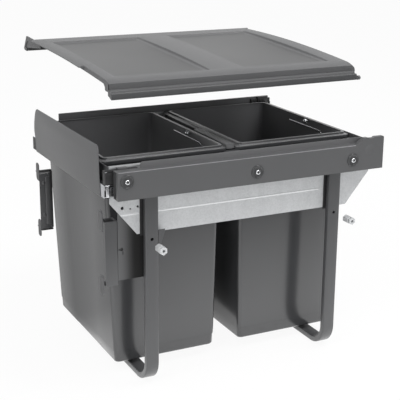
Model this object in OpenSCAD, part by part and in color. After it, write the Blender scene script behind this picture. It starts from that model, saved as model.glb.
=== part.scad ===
/* [Cabinet] */
// Clear width between the two side walls of the cabinet
clear_w = 562; // [540:1:620]
// Height of the front rail's lower edge above the top row of wall fixing holes
fix_drop = 35; // [30:0.5:45]
// Distance of the front wall fixing holes behind the face of the front rail
fix_setback = 46; // [44:0.5:54]

/* [Wall brackets] */
// Distance between the front and the rear wall bracket's holes
fix_span_y = 360; // [340:1:380]
// Distance between the upper and the lower holes of a wall bracket
fix_span_z = 138; // [132:0.5:160]
// Radius of a wall fixing hole
fix_hole_r = 2.75; // [2:0.05:3.5]
// Thickness of the bracket's sheet
bracket_t = 1.5; // [1:0.1:2]
// Width of the bracket's web, out from the wall
bracket_w = 28; // [20:0.5:28]
// Height of the bracket's web
bracket_h = 122; // [100:1:126]
// Distance of a bracket's hole behind the face of its web
bracket_hole_back = 12; // [10:0.5:14]
// Width of a bracket's tab along the wall
tab_w = 19; // [17:0.5:24]
// Reach of a tab beyond its hole
tab_reach = 9; // [7:0.5:10]
// Depth of the folded edges at the top and the bottom of the web
bracket_fold = 8; // [5:0.5:9]

/* [Side plate] */
// Thickness of the left side plate
side_plate_t = 1.2; // [0.8:0.1:2]
// Depth of the left side plate from front to back
side_plate_l = 363; // [340:1:370]
// Height of the left side plate
side_plate_h = 91; // [80:1:100]
// Distance of the side plate's front edge behind the face of the front rail
side_plate_setback = 42; // [40:0.5:50]
// Thickness of the packing strip behind the right runner
packer_t = 5.2; // [3:0.1:6]

/* [Runners] */
// Length of a runner when it is closed
runner_l = 400; // [380:5:400]
// Travel of the drawer out of the cabinet
travel = 400; // [300:5:400]
// Height of the rail that is fixed to the wall
fixed_h = 23; // [22.5:0.1:23.5]
// Depth of the rail that is fixed to the wall, out from its back
fixed_d = 8.8; // [8.6:0.1:9]
// Thickness of the fixed rail's sheet
fixed_t = 1.2; // [1:0.05:1.3]
// Height of the fixed rail's turned lips
fixed_lip = 1.5; // [1:0.1:1.6]
// Thickness of the middle rail's sheet
mid_t = 1.0; // [0.8:0.05:1.1]
// Radius of the balls between the fixed and the middle rail
outer_ball_r = 1.2; // [1.1:0.01:1.2]
// Radius of the balls between the middle and the inner rail
inner_ball_r = 1.0; // [0.8:0.01:1]
// Clearance of a ball on each side
ball_play = 0.1; // [0.05:0.01:0.12]
// Width of the box that carries the drawer's frame
carrier_w = 10; // [8:0.5:12]
// Height of the box that carries the drawer's frame
carrier_h = 17; // [15:0.5:18]
// Number of balls in one row of a cage
ball_count = 6; // [3:1:8]

/* [Front rail] */
// Distance of the front rail's left end from the wall
rail_inset = 16.5; // [15:0.5:20]
// Height of the front rail
rail_h = 50; // [46:0.5:54]
// Depth of the front rail
rail_d = 20; // [18:0.5:24]
// Wall of the front rail's moulding
rail_wall = 2.5; // [2:0.1:3]
// Height of the raised part at the rail's right end
rail_raise = 12.7; // [8:0.1:14]
// Length of the raised part, its ramp included
rail_raise_l = 62.5; // [55:0.5:70]
// Outer radius of a finishing washer
washer_r = 12.5; // [10:0.1:13]
// Thickness of the sheet strip behind the front rail
strip_t = 1.2; // [1:0.1:1.5]
// Height of the strip's top edge above the rail's lower edge
strip_top = 60; // [56:0.5:64]

/* [Frame] */
// Thickness of the cross plate's sheet
plate_t = 1.5; // [1:0.1:2]
// Distance of the cross plate's left end from the wall
plate_inset = 14; // [13.5:0.5:16]
// Depth of the cross plate below the rail's lower edge
plate_drop = 74.5; // [70:0.5:80]
// Reach of the frame behind the rear wall fixing holes
frame_beyond = 25; // [22:1:39]
// Thickness of the side frames' sheet
frame_t = 1.4; // [1.2:0.1:1.5]
// Height of the bins' seat above the rail's lower edge
seat_z = 43; // [40:0.5:44]
// Height of the rear rail
rear_rail_h = 35; // [30:0.5:38]
// Thickness of the rear rail
rear_rail_t = 5; // [4:0.5:8]

/* [Legs] */
// Distance of the left leg's centre from the wall, which sets the spacing of the front's fixing holes
leg_inset = 88.5; // [80:0.5:96]
// Width of a leg
leg_w = 25; // [20:0.5:28]
// Thickness of a leg
leg_t = 12; // [10:0.5:14]
// Depth of the leg's lowest face below the rail's lower edge
leg_drop = 368; // [366:1:380]
// Outer radius of the bend at the foot
leg_bend_r = 35; // [26:1:45]
// Length of the foot from the leg's front face to its end
leg_foot_l = 215; // [150:5:260]
// Radius of the fixing hole in a leg
leg_hole_r = 3; // [2.5:0.05:3.5]
// Depth of the fixing hole below the rail's lower edge
leg_hole_drop = 84; // [80:0.5:90]

/* [Bins] */
// Distance of the bins' rims behind the rail's face
bin_setback = 85; // [82:0.5:88]
// Reach of the bins' rims behind the rear wall fixing holes
bin_beyond = 11.5; // [0:0.5:15]
// Gap between the two rims
bin_gap = 18; // [16:0.5:24]
// Height of a bin from its floor to its rim
bin_h = 404.5; // [380:0.5:404.5]
// Height of the rim's turned edge
rim_h = 12.6; // [11:0.1:14]
// Width of the rim's flat
rim_w = 11; // [9:0.1:12]
// Wall of a bin
bin_t = 2; // [1.5:0.1:2.5]
// Radius of the bin's upright corners
bin_corner_r = 10; // [6:0.5:14]

/* [Lid] */
// Width of the lid's arched panel
lid_w = 498; // [480:1:506]
// Depth of the arched panel from front to back
lid_d = 415; // [400:1:425]
// Distance of the arched panel's front edge behind the rail's face
lid_setback = 74; // [70:0.5:80]
// Height of the lid's crest above the rail's lower edge when the lid is seated
lid_seat_z = 116; // [110:0.5:125]
// Travel of the lid from where the photograph shows it down to its seat
lid_drop = 96; // [80:0.5:97]
// Radius of the lid's arch
lid_arch_r = 4580; // [4000:10:6000]
// Thickness of the lid's sheet
lid_t = 2.5; // [2:0.1:3]
// Depth of the two recessed fields
field_depth = 3.5; // [2:0.1:5]

/* [Spacers] */
// Width of a spacer across its flats
spacer_af = 13; // [12:0.1:15]
// Length of a spacer
spacer_l = 23; // [20:0.5:26]
// Distance of a spacer in front of its leg, where the photograph shows it
spacer_rest = 40; // [20:0.5:44]

/* [Hidden] */
// Smallest overrun of a cut, and clearances
over = 1;
run_gap = 0.3;
bolt_play = 0.1;
$fn = 64;
hull_fn = 32;
arch_steps = 24;

// Colours of the finishes
anthracite = "#5c5d5f";
light_grey = "#8b8c8e";
black = "#1b1b1c";
zinc = "#b9bbbd";
bright = "#d5d7da";

// Datum planes, measured from the centre of the wall fixing holes
face_y = -fix_span_y / 2 - fix_setback;
base_z = fix_span_z / 2 + fix_drop;
mid_x = (side_plate_t + clear_w - packer_t) / 2;
rail_back_y = face_y + rail_d;
leg_y = rail_back_y + strip_t;
plate_y = leg_y + leg_t;
frame_y = plate_y + plate_t;
rear_y = fix_span_y / 2 + frame_beyond;

// Slides: heights of the nested rails
slide_lift = 1;
slide_z = base_z + slide_lift;
slide_front_gap = 4;
slide_y = rail_back_y + slide_front_gap;
slide_mid_z = slide_z + fixed_h / 2;
mid_h = fixed_h - 2 * (fixed_t + 2 * outer_ball_r + 2 * ball_play);
inner_h = mid_h - 2 * (mid_t + 2 * inner_ball_r + 2 * ball_play);
mid_back_gap = 1.2;
mid_x0 = side_plate_t + fixed_t + mid_back_gap;
mid_front_gap = 0.5;
mid_d = side_plate_t + fixed_d - mid_x0 - mid_front_gap;
inner_back_gap = 1;
inner_x0 = mid_x0 + mid_t + inner_back_gap;
carrier_gap = 1;
carrier_x = side_plate_t + fixed_d + carrier_gap;
carrier_end = carrier_x + carrier_w;
carrier_top = slide_mid_z + carrier_h / 2;
cage_t = 0.5;
cage_edge_gap = 0.35;
inner_cage_gap = 0.25;
cage_lip_gap = 0.4;
ball_pitch = 20;
outer_cage_spare = 6;
inner_cage_spare = 30;
outer_cage_setback = travel / 4 + outer_cage_spare;
inner_cage_setback = travel / 4 + inner_cage_spare;

// Side frames: the web stands inside the bins' rims
web_inset = 7.2;
web_rise = 9;
web_x = carrier_end - web_inset;
web_side = web_x + frame_t;
rim_play = 0.8;
seat_w = 7.8;
web_top = base_z + seat_z + web_rise;

// Bins
bin_x = web_side + rim_play;
bin_w = mid_x - bin_gap / 2 - bin_x;
bin_y = face_y + bin_setback;
bin_d = fix_span_y / 2 + bin_beyond - bin_y;
rim_top = base_z + seat_z + rim_h;
rim_inset_y = 5;
outer_foot_inset = 28;
inner_foot_inset = 18;
front_foot_inset = 11;
rear_foot_inset = 7.5;
foot_h = 24;
foot_step = 0.8;
slab = 0.5;

// Screws of the front rail: places along the rail and above its lower edge
screw_first = 17.3;
screw_mid_shift = 7.8;
screw_last_shift = 23.3;
screw_up_shares = [0.656, 0.442, 0.444];
screw_x = [rail_inset + screw_first, mid_x + screw_mid_shift, 2 * mid_x - leg_inset + screw_last_shift];
screw_z = [for (share = screw_up_shares) share * rail_h];
screw_r = 3;
screw_head_r = 4.7;
screw_head_h = 3;
screw_socket_r = 2.1;
socket_depth = 1.8;
washer_t = 1.6;
washer_dish = 0.9;
washer_rim = 2.6;
boss_wall = 2.6;
nut_r = 5.8;
nut_h = 4;
leg_bolt_r = 2.5;
leg_bolt_low = 12;
leg_bolt_high = 34;
leg_bolt_z = [leg_bolt_low, leg_bolt_high];
leg_top = 44;

rail_end_gap = 0.5;
rail_l = clear_w - rail_inset - rail_end_gap;
plate_end_gap = 9;

function leg_x(side) = mid_x + side * (mid_x - leg_inset);

// A block between two corners, each side given as [from, to]
module block(x, y, z) {
    translate([x[0], y[0], z[0]]) cube([x[1] - x[0], y[1] - y[0], z[1] - z[0]]);
}

// A round bar along the depth
module rod_y(x, y, z, r, length) {
    translate([x, y, z]) rotate([-90, 0, 0]) cylinder(r = r, h = length);
}

// A round bar along the width
module rod_x(x, y, z, r, length) {
    translate([x, y, z]) rotate([0, 90, 0]) cylinder(r = r, h = length);
}

// A section drawn in width and height, pushed along the depth
module along_y(y, length) {
    translate([0, y + length, 0]) rotate([90, 0, 0]) linear_extrude(length) children();
}

// A section drawn in depth and height, pushed along the width
module along_x(x, length) {
    translate([x, 0, 0]) rotate([90, 0, 90]) linear_extrude(length) children();
}

// The right side of the unit mirrors the left one about its middle
module right_side() {
    translate([2 * mid_x, 0, 0]) mirror([1, 0, 0]) children();
}

// Wall side

plate_front_cut = 8;
plate_front_rise = 77;
plate_top_back = 354;
plate_top_fall = 2;
plate_foot_back = 362;
plate_bulge = 9;
plate_drop_below = 2;
rear_top_share = 0.62;
rear_low_share = 0.4;

module left_side_plate() {
    y = face_y + side_plate_setback;
    z = base_z - plate_drop_below;
    outline = [[y, z + plate_drop_below], [y + plate_front_cut, z + plate_front_rise],
               [y + plate_front_cut + plate_bulge / 3, z + side_plate_h - plate_bulge / 2],
               [y + plate_front_cut + plate_bulge, z + side_plate_h],
               [y + plate_top_back - plate_bulge, z + side_plate_h - plate_top_fall],
               [y + plate_top_back, z + side_plate_h - plate_top_fall - plate_bulge / 2],
               [y + side_plate_l + plate_bulge, z + rear_top_share * side_plate_h],
               [y + side_plate_l + plate_bulge, z + rear_low_share * side_plate_h],
               [y + plate_foot_back, z]];
    color(light_grey) along_x(0, side_plate_t) polygon(outline);
}

module fixed_rail() {
    x = side_plate_t;
    color(zinc) difference() {
        along_y(slide_y, runner_l) union() {
            difference() {
                translate([x, slide_z]) square([fixed_d, fixed_h]);
                translate([x + fixed_t, slide_z + fixed_t])
                    square([fixed_d, fixed_h - 2 * fixed_t]);
            }
            for (z = [slide_z + fixed_t, slide_z + fixed_h - fixed_t - fixed_lip])
                translate([x + fixed_d - mid_t, z]) square([mid_t, fixed_lip]);
        }
        for (k = [0 : 2])
            rod_x(x - over, slide_y + wall_hole_first + k * wall_hole_pitch, slide_mid_z,
                  wall_hole_r, fixed_t + 2 * over);
    }
}

wall_hole_first = 37;
wall_hole_pitch = 128;
wall_hole_r = 2.2;

module left_fixed_rail() fixed_rail();

module right_fixed_rail() right_side() fixed_rail();

module right_rail_packer() {
    x = clear_w - packer_t;
    color(black) difference() {
        block([x, clear_w], [slide_y, slide_y + runner_l], [slide_z, slide_z + fixed_h]);
        for (k = [0 : 2])
            rod_x(x - over, slide_y + wall_hole_first + k * wall_hole_pitch, slide_mid_z,
                  wall_hole_r, packer_t + 2 * over);
    }
}

// One wall bracket: a web across the depth, two tabs flat on the wall, folded ends
module wall_bracket(y) {
    web_y = y - bracket_hole_back;
    z0 = -bracket_h / 2;
    z1 = bracket_h / 2;
    hole_z = fix_span_z / 2;
    color(anthracite) difference() {
        union() {
            block([0, bracket_w], [web_y, web_y + bracket_t], [z0, z1]);
            for (z = [z0, z1 - bracket_t])
                block([0, bracket_w], [web_y, web_y + bracket_fold], [z, z + bracket_t]);
            block([0, bracket_t], [web_y, web_y + tab_w], [z1 - tab_w, hole_z + tab_reach]);
            block([0, bracket_t], [web_y, web_y + tab_w], [-hole_z - tab_reach, z0 + tab_w]);
        }
        for (z = [-hole_z, hole_z]) rod_x(-over, y, z, fix_hole_r, bracket_t + 2 * over);
    }
}

module wall_bracket_front() wall_bracket(-fix_span_y / 2);

module wall_bracket_rear() wall_bracket(fix_span_y / 2);

// Sliding rails and their balls

module mid_rail() {
    color(zinc) along_y(slide_y, runner_l - slide_front_gap) difference() {
        translate([mid_x0, slide_mid_z - mid_h / 2]) square([mid_d, mid_h]);
        translate([mid_x0 + mid_t, slide_mid_z - mid_h / 2 + mid_t])
            square([mid_d, mid_h - 2 * mid_t]);
    }
}

module left_mid_rail() mid_rail();

module right_mid_rail() right_side() mid_rail();

// A folded strip with a row of balls at its top and its bottom
module cage(x0, x1, y, row_h, ball_r) {
    length = ball_count * ball_pitch;
    ball_x = (x0 + x1) / 2 + cage_t;
    color(black) difference() {
        along_y(y, length) difference() {
            translate([x0, slide_mid_z - row_h / 2 - cage_t / 2]) square([x1 - x0, row_h + cage_t]);
            translate([x0 + cage_t, slide_mid_z - row_h / 2 + cage_t / 2])
                square([x1 - x0, row_h - cage_t]);
        }
        for (k = [0 : ball_count - 1])
            translate([ball_x, y + (k + 1 / 2) * ball_pitch, slide_mid_z - row_h / 2 - cage_t])
                cylinder(r = ball_r + ball_play, h = row_h + 2 * cage_t);
    }
    color(bright) for (k = [0 : ball_count - 1], side = [-1, 1])
        translate([ball_x, y + (k + 1 / 2) * ball_pitch, slide_mid_z + side * row_h / 2])
            sphere(r = ball_r);
}

module outer_cage() {
    row = mid_h + 2 * (ball_play + outer_ball_r);
    cage(side_plate_t + fixed_t + cage_edge_gap, side_plate_t + fixed_d - mid_t - cage_lip_gap,
         slide_y + outer_cage_setback, row, outer_ball_r);
}

module inner_cage() {
    row = inner_h + 2 * (ball_play + inner_ball_r);
    cage(mid_x0 + mid_t + inner_cage_gap, mid_x0 + mid_d - cage_lip_gap,
         slide_y + inner_cage_setback, row, inner_ball_r);
}

module left_outer_cage() outer_cage();

module right_outer_cage() right_side() outer_cage();

module left_inner_cage() inner_cage();

module right_inner_cage() right_side() inner_cage();

// The drawer's own rail: a tongue between the balls and a box that carries the frame
module inner_rail() {
    color(bright) along_y(rail_back_y, runner_l) union() {
        difference() {
            translate([inner_x0, slide_mid_z - inner_h / 2])
                square([carrier_x - inner_x0 + mid_t, inner_h]);
            translate([inner_x0 + mid_t, slide_mid_z - inner_h / 2 + mid_t])
                square([carrier_x - inner_x0, inner_h - 2 * mid_t]);
        }
        difference() {
            translate([carrier_x, slide_mid_z - carrier_h / 2]) square([carrier_w, carrier_h]);
            translate([carrier_x + fixed_t, slide_mid_z - carrier_h / 2 + fixed_t])
                square([carrier_w, carrier_h - 2 * fixed_t]);
        }
    }
}

module left_inner_rail() inner_rail();

module right_inner_rail() right_side() inner_rail();

// Drawer frame

module side_frame() {
    length = rear_y - frame_y;
    color(anthracite) along_y(frame_y, length) union() {
        translate([carrier_x, carrier_top]) square([carrier_w, frame_t]);
        translate([web_x, carrier_top]) square([frame_t, web_top - carrier_top]);
        translate([web_x, base_z + seat_z - frame_t]) square([frame_t + seat_w, frame_t]);
    }
}

module left_side_frame() side_frame();

module right_side_frame() right_side() side_frame();

ramp_share = 0.28;
top_share = 0.41;
dip_share = 0.49;
dip_end_share = 0.62;
rise_share = 0.67;
dip_depth = 1.9;
raise_t = 8;

// The rail's outline in width and height, with the raised end, its ramp and its shallow dip
module rail_outline() {
    x = rail_l - rail_raise_l;
    top = rail_h + rail_raise;
    polygon([[0, 0], [rail_l, 0], [rail_l, top - dip_depth], [rail_l - dip_depth, top],
             [x + rise_share * rail_raise_l, top], [x + dip_end_share * rail_raise_l, top - dip_depth],
             [x + dip_share * rail_raise_l, top - dip_depth], [x + top_share * rail_raise_l, top],
             [x + ramp_share * rail_raise_l, top], [x, rail_h], [0, rail_h]]);
}

module front_rail() {
    color(anthracite) difference() {
        union() {
            difference() {
                translate([rail_inset, 0, base_z]) along_y(face_y, rail_d)
                    intersection() {
                        rail_outline();
                        square([rail_l, rail_h]);
                    }
                block([rail_inset + rail_wall, rail_inset + rail_l - rail_wall],
                      [face_y + rail_wall, rail_back_y + over],
                      [base_z + rail_wall, base_z + rail_h - rail_wall]);
            }
            translate([rail_inset, 0, base_z]) along_y(face_y, raise_t)
                difference() {
                    rail_outline();
                    translate([-over, -over]) square([rail_l + 2 * over, rail_h - rail_wall + over]);
                }
            for (k = [0 : 2])
                rod_y(screw_x[k], face_y + rail_wall / 2, base_z + screw_z[k],
                      screw_r + boss_wall, rail_d - rail_wall / 2);
        }
        for (k = [0 : 2])
            rod_y(screw_x[k], face_y - over, base_z + screw_z[k], screw_r + bolt_play,
                  rail_d + 2 * over);
    }
}

strip_inset = 50;
strip_end_inset = 38;
strip_foot = 4;
strip_corner = 3;

module front_strip() {
    x0 = rail_inset + strip_inset;
    x1 = rail_inset + rail_l - strip_end_inset;
    z1 = base_z + strip_top;
    color(anthracite) difference() {
        along_y(rail_back_y, strip_t) polygon([[x0, base_z + strip_foot], [x1, base_z + strip_foot],
            [x1, z1], [x0 + strip_corner, z1], [x0, z1 - strip_corner]]);
        for (k = [1 : 2])
            rod_y(screw_x[k], rail_back_y - over, base_z + screw_z[k], screw_r + bolt_play,
                  strip_t + 2 * over);
        for (side = [-1, 1], z = leg_bolt_z)
            rod_y(leg_x(side), rail_back_y - over, base_z + z, leg_bolt_r + bolt_play,
                  strip_t + 2 * over);
    }
}

plate_side_drop = 13;
plate_slope_w = 50.5;
plate_top = 52;
plate_flange = 10;
notch_play = 0.5;
punch_along_shares = [0.279, 0.4805, 0.671];
punch_down_shares = [0.3155, 0.3545, 0.318];
punch_radius_shares = [0.12, 0.06, 0.088];

module cross_plate() {
    x0 = plate_inset;
    x1 = clear_w - plate_end_gap;
    z = base_z;
    notch_w = carrier_end + notch_play - x0;
    color(zinc) difference() {
        union() {
            along_y(plate_y, plate_t)
                polygon([[x0, z - plate_side_drop], [x0 + plate_slope_w, z - plate_drop],
                         [x1 - plate_slope_w, z - plate_drop], [x1, z - plate_side_drop],
                         [x1, z + plate_top], [x0, z + plate_top]]);
            block([x0, x1], [plate_y, plate_y + plate_flange],
                  [z + plate_top - plate_t, z + plate_top]);
        }
        for (x = [[x0 - over, x0 + notch_w], [2 * mid_x - carrier_end - notch_play, x1 + over]])
            block(x, [plate_y - over, plate_y + plate_t + over],
                  [slide_z - notch_play, slide_z + fixed_h + notch_play]);
        // The flange is cut back where the side frames stand
        for (x = [[x0 - over, bin_x], [2 * mid_x - bin_x, x1 + over]])
            block(x, [plate_y + plate_t, plate_y + plate_flange + over],
                  [z + plate_top - plate_t - over, z + plate_top + over]);
        for (k = [0 : 2])
            rod_y(screw_x[k], plate_y - over, z + screw_z[k], screw_r + bolt_play,
                  plate_t + 2 * over);
        for (side = [-1, 1], h = leg_bolt_z)
            rod_y(leg_x(side), plate_y - over, z + h, leg_bolt_r + bolt_play, plate_t + 2 * over);
        for (k = [0 : 2])
            rod_y(rail_inset + punch_along_shares[k] * plate_drop, plate_y - over,
                  z - punch_down_shares[k] * plate_drop, punch_radius_shares[k] * leg_w,
                  plate_t + 2 * over);
    }
}

cap_gap = 0.6;
cap_bottom = 24.6;
cap_top = 51;
cap_end = 46;

module corner_cap() {
    color(black) difference() {
        block([side_plate_t + cap_gap, cap_end], [rail_back_y, plate_y],
              [base_z + cap_bottom, base_z + cap_top]);
        rod_y(screw_x[0], rail_back_y - over, base_z + screw_z[0], screw_r + bolt_play,
              plate_y - rail_back_y + 2 * over);
        // The cap is hollow above the screw's boss
        block([side_plate_t + cap_gap + rail_wall, rail_inset],
              [rail_back_y - over, plate_y - rail_wall],
              [base_z + cap_bottom + rail_wall, base_z + cap_top - rail_wall]);
    }
}

rear_plate_foot = 10;
rear_plate_top = 50;

module rear_plate() {
    color(zinc) block([web_x, 2 * mid_x - web_x], [rear_y, rear_y + plate_t],
                      [base_z + rear_plate_foot, base_z + rear_plate_top]);
}

rear_rail_top = 65;
rear_rail_inset = 59.5;
rear_rail_end_gap = 7.5;

module rear_rail() {
    z = base_z + rear_rail_top;
    color(anthracite) block([rear_rail_inset, clear_w - rear_rail_end_gap],
                            [rear_y + plate_t, rear_y + plate_t + rear_rail_t],
                            [z - rear_rail_h, z]);
}

latch_w = 48;
latch_d = 7;
latch_h = 13.5;
latch_step = 9;

module rear_latch() {
    x1 = clear_w - rear_rail_end_gap + latch_step / 4;
    z = web_top;
    color(black) union() {
        block([x1 - latch_w, x1 - latch_w / 2], [rear_y - latch_d + latch_step / 3, rear_y + plate_t],
              [z, z + latch_h - latch_step / 2]);
        block([x1 - latch_w / 2 - latch_step, x1 - latch_step], [rear_y - latch_d, rear_y + plate_t],
              [z, z + latch_h]);
        block([x1 - latch_step, x1], [rear_y - latch_d / 2, rear_y + plate_t],
              [z, z + latch_h - latch_step / 2]);
    }
}

bar_w = 32;
bar_side = 20;

module middle_bar() {
    z = base_z + seat_z;
    color(anthracite) along_y(frame_y, rear_y - frame_y) difference() {
        translate([mid_x - bar_w / 2, z - bar_side]) square([bar_w, bar_side]);
        translate([mid_x - bar_w / 2 + frame_t, z - bar_side - over])
            square([bar_w - 2 * frame_t, bar_side - frame_t + over]);
    }
}

divider_l = 152;
divider_h = 11;
divider_rib = 1.4;
divider_ribs = 4;

module bin_divider() {
    w = bin_gap - 2 * run_gap;
    z = base_z + seat_z;
    pitch = w / divider_ribs;
    color(light_grey) union() {
        block([mid_x - w / 2, mid_x + w / 2], [bin_y, bin_y + divider_l], [z, z + divider_h]);
        for (k = [0 : divider_ribs - 1])
            block([mid_x - w / 2 + k * pitch, mid_x - w / 2 + k * pitch + pitch / 2],
                  [bin_y, bin_y + divider_l], [z, z + divider_h + divider_rib]);
    }
}

// A leg: an upright bar, a bend and a foot that runs back under the bins
module leg(x) {
    z0 = base_z - leg_drop;
    bend_y = leg_y + leg_bend_r;
    color(anthracite) difference() {
        union() {
            block([x - leg_w / 2, x + leg_w / 2], [leg_y, plate_y],
                  [z0 + leg_bend_r, base_z + leg_top]);
            translate([x - leg_w / 2, bend_y, z0 + leg_bend_r]) rotate([0, 90, 0])
                rotate([0, 0, 270]) rotate_extrude(angle = 90)
                translate([leg_bend_r - leg_t, 0]) square([leg_t, leg_w]);
            block([x - leg_w / 2, x + leg_w / 2], [bend_y, leg_y + leg_foot_l], [z0, z0 + leg_t]);
        }
        rod_y(x, leg_y - over, base_z - leg_hole_drop, leg_hole_r, leg_t + 2 * over);
        for (z = leg_bolt_z)
            rod_y(x, leg_y - over, base_z + z, leg_bolt_r + bolt_play, leg_t + 2 * over);
    }
}

module left_leg() leg(leg_x(-1));

module right_leg() leg(leg_x(1));

keyhole_gap = 1;
keyhole_drop = 157;
keyhole_top = 30;
keyhole_x = 34.2;
keyhole_z = 99.5;
keyhole_r = 3.2;
keyhole_slot = 1.4;

module keyhole_plate() {
    x0 = bracket_w + keyhole_gap;
    color(anthracite) difference() {
        block([x0, leg_x(-1) + leg_w / 2], [frame_y, frame_y + plate_t],
              [base_z - keyhole_drop, base_z - keyhole_top]);
        rod_y(keyhole_x + keyhole_r / 2, frame_y - over, base_z - keyhole_z, keyhole_r,
              plate_t + 2 * over);
        block([x0 - over, keyhole_x], [frame_y - over, frame_y + plate_t + over],
              [base_z - keyhole_z - keyhole_slot, base_z - keyhole_z + keyhole_slot]);
    }
}

// Fasteners

module rail_washers() {
    color(anthracite) for (k = [0 : 2])
        translate([screw_x[k], face_y, base_z + screw_z[k]]) rotate([90, 0, 0])
            rotate_extrude() polygon([[screw_r + bolt_play, 0], [washer_r, 0],
                [washer_r, washer_t - washer_dish / 3], [washer_r - washer_dish / 3, washer_t],
                [washer_r - washer_rim, washer_t], [washer_r - washer_rim - washer_dish, washer_dish],
                [screw_r + bolt_play, washer_dish]]);
}

module rail_screws() {
    reach = nut_h + rail_d + strip_t + leg_t + plate_t;
    color(bright) for (k = [0 : 2])
        translate([screw_x[k], face_y - washer_dish, base_z + screw_z[k]]) rotate([90, 0, 0])
            difference() {
                union() {
                    cylinder(r = screw_head_r, h = screw_head_h);
                    translate([0, 0, -reach - washer_dish])
                        cylinder(r = screw_r, h = reach + washer_dish + screw_head_h / 2);
                }
                translate([0, 0, screw_head_h - socket_depth])
                    cylinder(r = screw_socket_r, h = socket_depth + over, $fn = 6);
            }
}

// A hexagon nut on the back of the cross plate
module nut(x, z, bore_r) {
    translate([x, frame_y, z]) rotate([-90, 0, 0]) difference() {
        cylinder(r = nut_r, h = nut_h, $fn = 6);
        translate([0, 0, -over]) cylinder(r = bore_r, h = nut_h + 2 * over);
    }
}

module rail_nuts() {
    color(bright) for (k = [0 : 2]) nut(screw_x[k], base_z + screw_z[k], screw_r);
}

module leg_bolts() {
    reach = strip_t + leg_t + plate_t + nut_h;
    color(bright) for (side = [-1, 1], z = leg_bolt_z)
        translate([leg_x(side), rail_back_y, base_z + z]) rotate([90, 0, 0]) union() {
            cylinder(r = screw_head_r, h = screw_head_h);
            translate([0, 0, -reach]) cylinder(r = leg_bolt_r, h = reach + screw_head_h / 2);
        }
}

module leg_nuts() {
    color(bright) for (side = [-1, 1], z = leg_bolt_z) nut(leg_x(side), base_z + z, leg_bolt_r);
}

// Bins

// A flat slab with rounded corners: x and y are given as [from, to]
module pad(x, y, z, r) {
    hull() for (px = [x[0] + r, x[1] - r], py = [y[0] + r, y[1] - r])
        translate([px, py, z]) cylinder(r = r, h = slab, $fn = hull_fn);
}

// The bin's body between two levels, drawn in by a given amount on every side
module bin_body(inset, top, bottom) {
    full = bin_h - slab;
    share = (rim_top - bottom - slab) / full;
    start = (rim_top - top) / full;
    x0 = bin_x;
    x1 = bin_x + bin_w;
    y0 = bin_y;
    y1 = bin_y + bin_d;
    r = bin_corner_r - inset;
    hull() {
        pad([x0 + rim_w + inset + start * (outer_foot_inset - rim_w),
             x1 - rim_w - inset - start * (inner_foot_inset - rim_w)],
            [y0 + rim_inset_y + inset + start * (front_foot_inset - rim_inset_y),
             y1 - rim_inset_y - inset - start * (rear_foot_inset - rim_inset_y)], top - slab, r);
        pad([x0 + rim_w + inset + share * (outer_foot_inset - rim_w),
             x1 - rim_w - inset - share * (inner_foot_inset - rim_w)],
            [y0 + rim_inset_y + inset + share * (front_foot_inset - rim_inset_y),
             y1 - rim_inset_y - inset - share * (rear_foot_inset - rim_inset_y)], bottom, r);
    }
}

module bin() {
    floor_z = rim_top - bin_h;
    x = [bin_x, bin_x + bin_w];
    y = [bin_y, bin_y + bin_d];
    rim_z = rim_top - rim_h;
    color(anthracite) difference() {
        union() {
            difference() {
                translate([0, 0, rim_z]) rim_block(x, y, rim_h, bin_corner_r);
                translate([0, 0, rim_z - over])
                    rim_block([x[0] + bin_t, x[1] - bin_t], [y[0] + bin_t, y[1] - bin_t],
                              rim_h - bin_t + over, bin_corner_r - bin_t);
            }
            bin_body(0, rim_top, floor_z + foot_h);
            bin_body(foot_step, floor_z + foot_h + slab, floor_z);
        }
        bin_body(bin_t, rim_top + slab, floor_z + foot_h);
        bin_body(bin_t + foot_step, floor_z + foot_h + slab, floor_z + bin_t);
    }
}

// The rim's block: an upright prism with rounded corners
module rim_block(x, y, h, r) {
    linear_extrude(h) hull() for (px = [x[0] + r, x[1] - r], py = [y[0] + r, y[1] - r])
        translate([px, py]) circle(r = r, $fn = hull_fn);
}

module left_bin() bin();

module right_bin() right_side() bin();

// Wire and knob on the inner right wall of each bin, which hold a bag's edge
wire_r = 0.9;
wire_l = 120;
wire_end = 13;
wire_drop = 13;
wire_setback = 85;
wire_wall_gap = 1.2;
knob_r = 2.6;
knob_up = 9;
knob_share = 0.45;

function wall_x(side) = side < 0
    ? bin_x + bin_w - rim_w - bin_t - share_down(wire_drop) * (inner_foot_inset - rim_w)
    : 2 * mid_x - bin_x - rim_w - bin_t - share_down(wire_drop) * (outer_foot_inset - rim_w);

function share_down(depth) = depth / (bin_h - slab);

module bag_wires() {
    z = rim_top - wire_drop;
    y = bin_y + wire_setback;
    color(bright) for (side = [-1, 1]) {
        x = wall_x(side) - wire_wall_gap;
        rod_y(x, y, z, wire_r, wire_l);
        for (end = [y, y + wire_l]) translate([x, end, z]) sphere(r = wire_r);
        for (end = [y, y + wire_l]) translate([x, end, z]) rotate([0, 90, 0])
            cylinder(r = wire_r, h = wire_wall_gap - ball_play);
    }
}

module bag_knobs() {
    z = rim_top - wire_drop + knob_up;
    y = bin_y + wire_setback + knob_share * wire_l;
    color(bright) for (side = [-1, 1]) {
        x = wall_x(side) - wire_wall_gap - knob_r;
        translate([x, y, z]) sphere(r = knob_r);
        rod_x(x, y, z, wire_r, wire_wall_gap + knob_r - ball_play);
    }
}

// Lid

crest_beyond = 11;
arch_y = face_y + lid_setback + lid_d + crest_beyond;
arch_z = base_z + lid_seat_z + lid_drop;
lid_shift = -1.5;
lid_x = mid_x - lid_w / 2 - lid_shift;
skirt_h = 9;
skirt_flare = 5.3;
front_skirt_l = 133;
hanger_l = 112;

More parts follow.
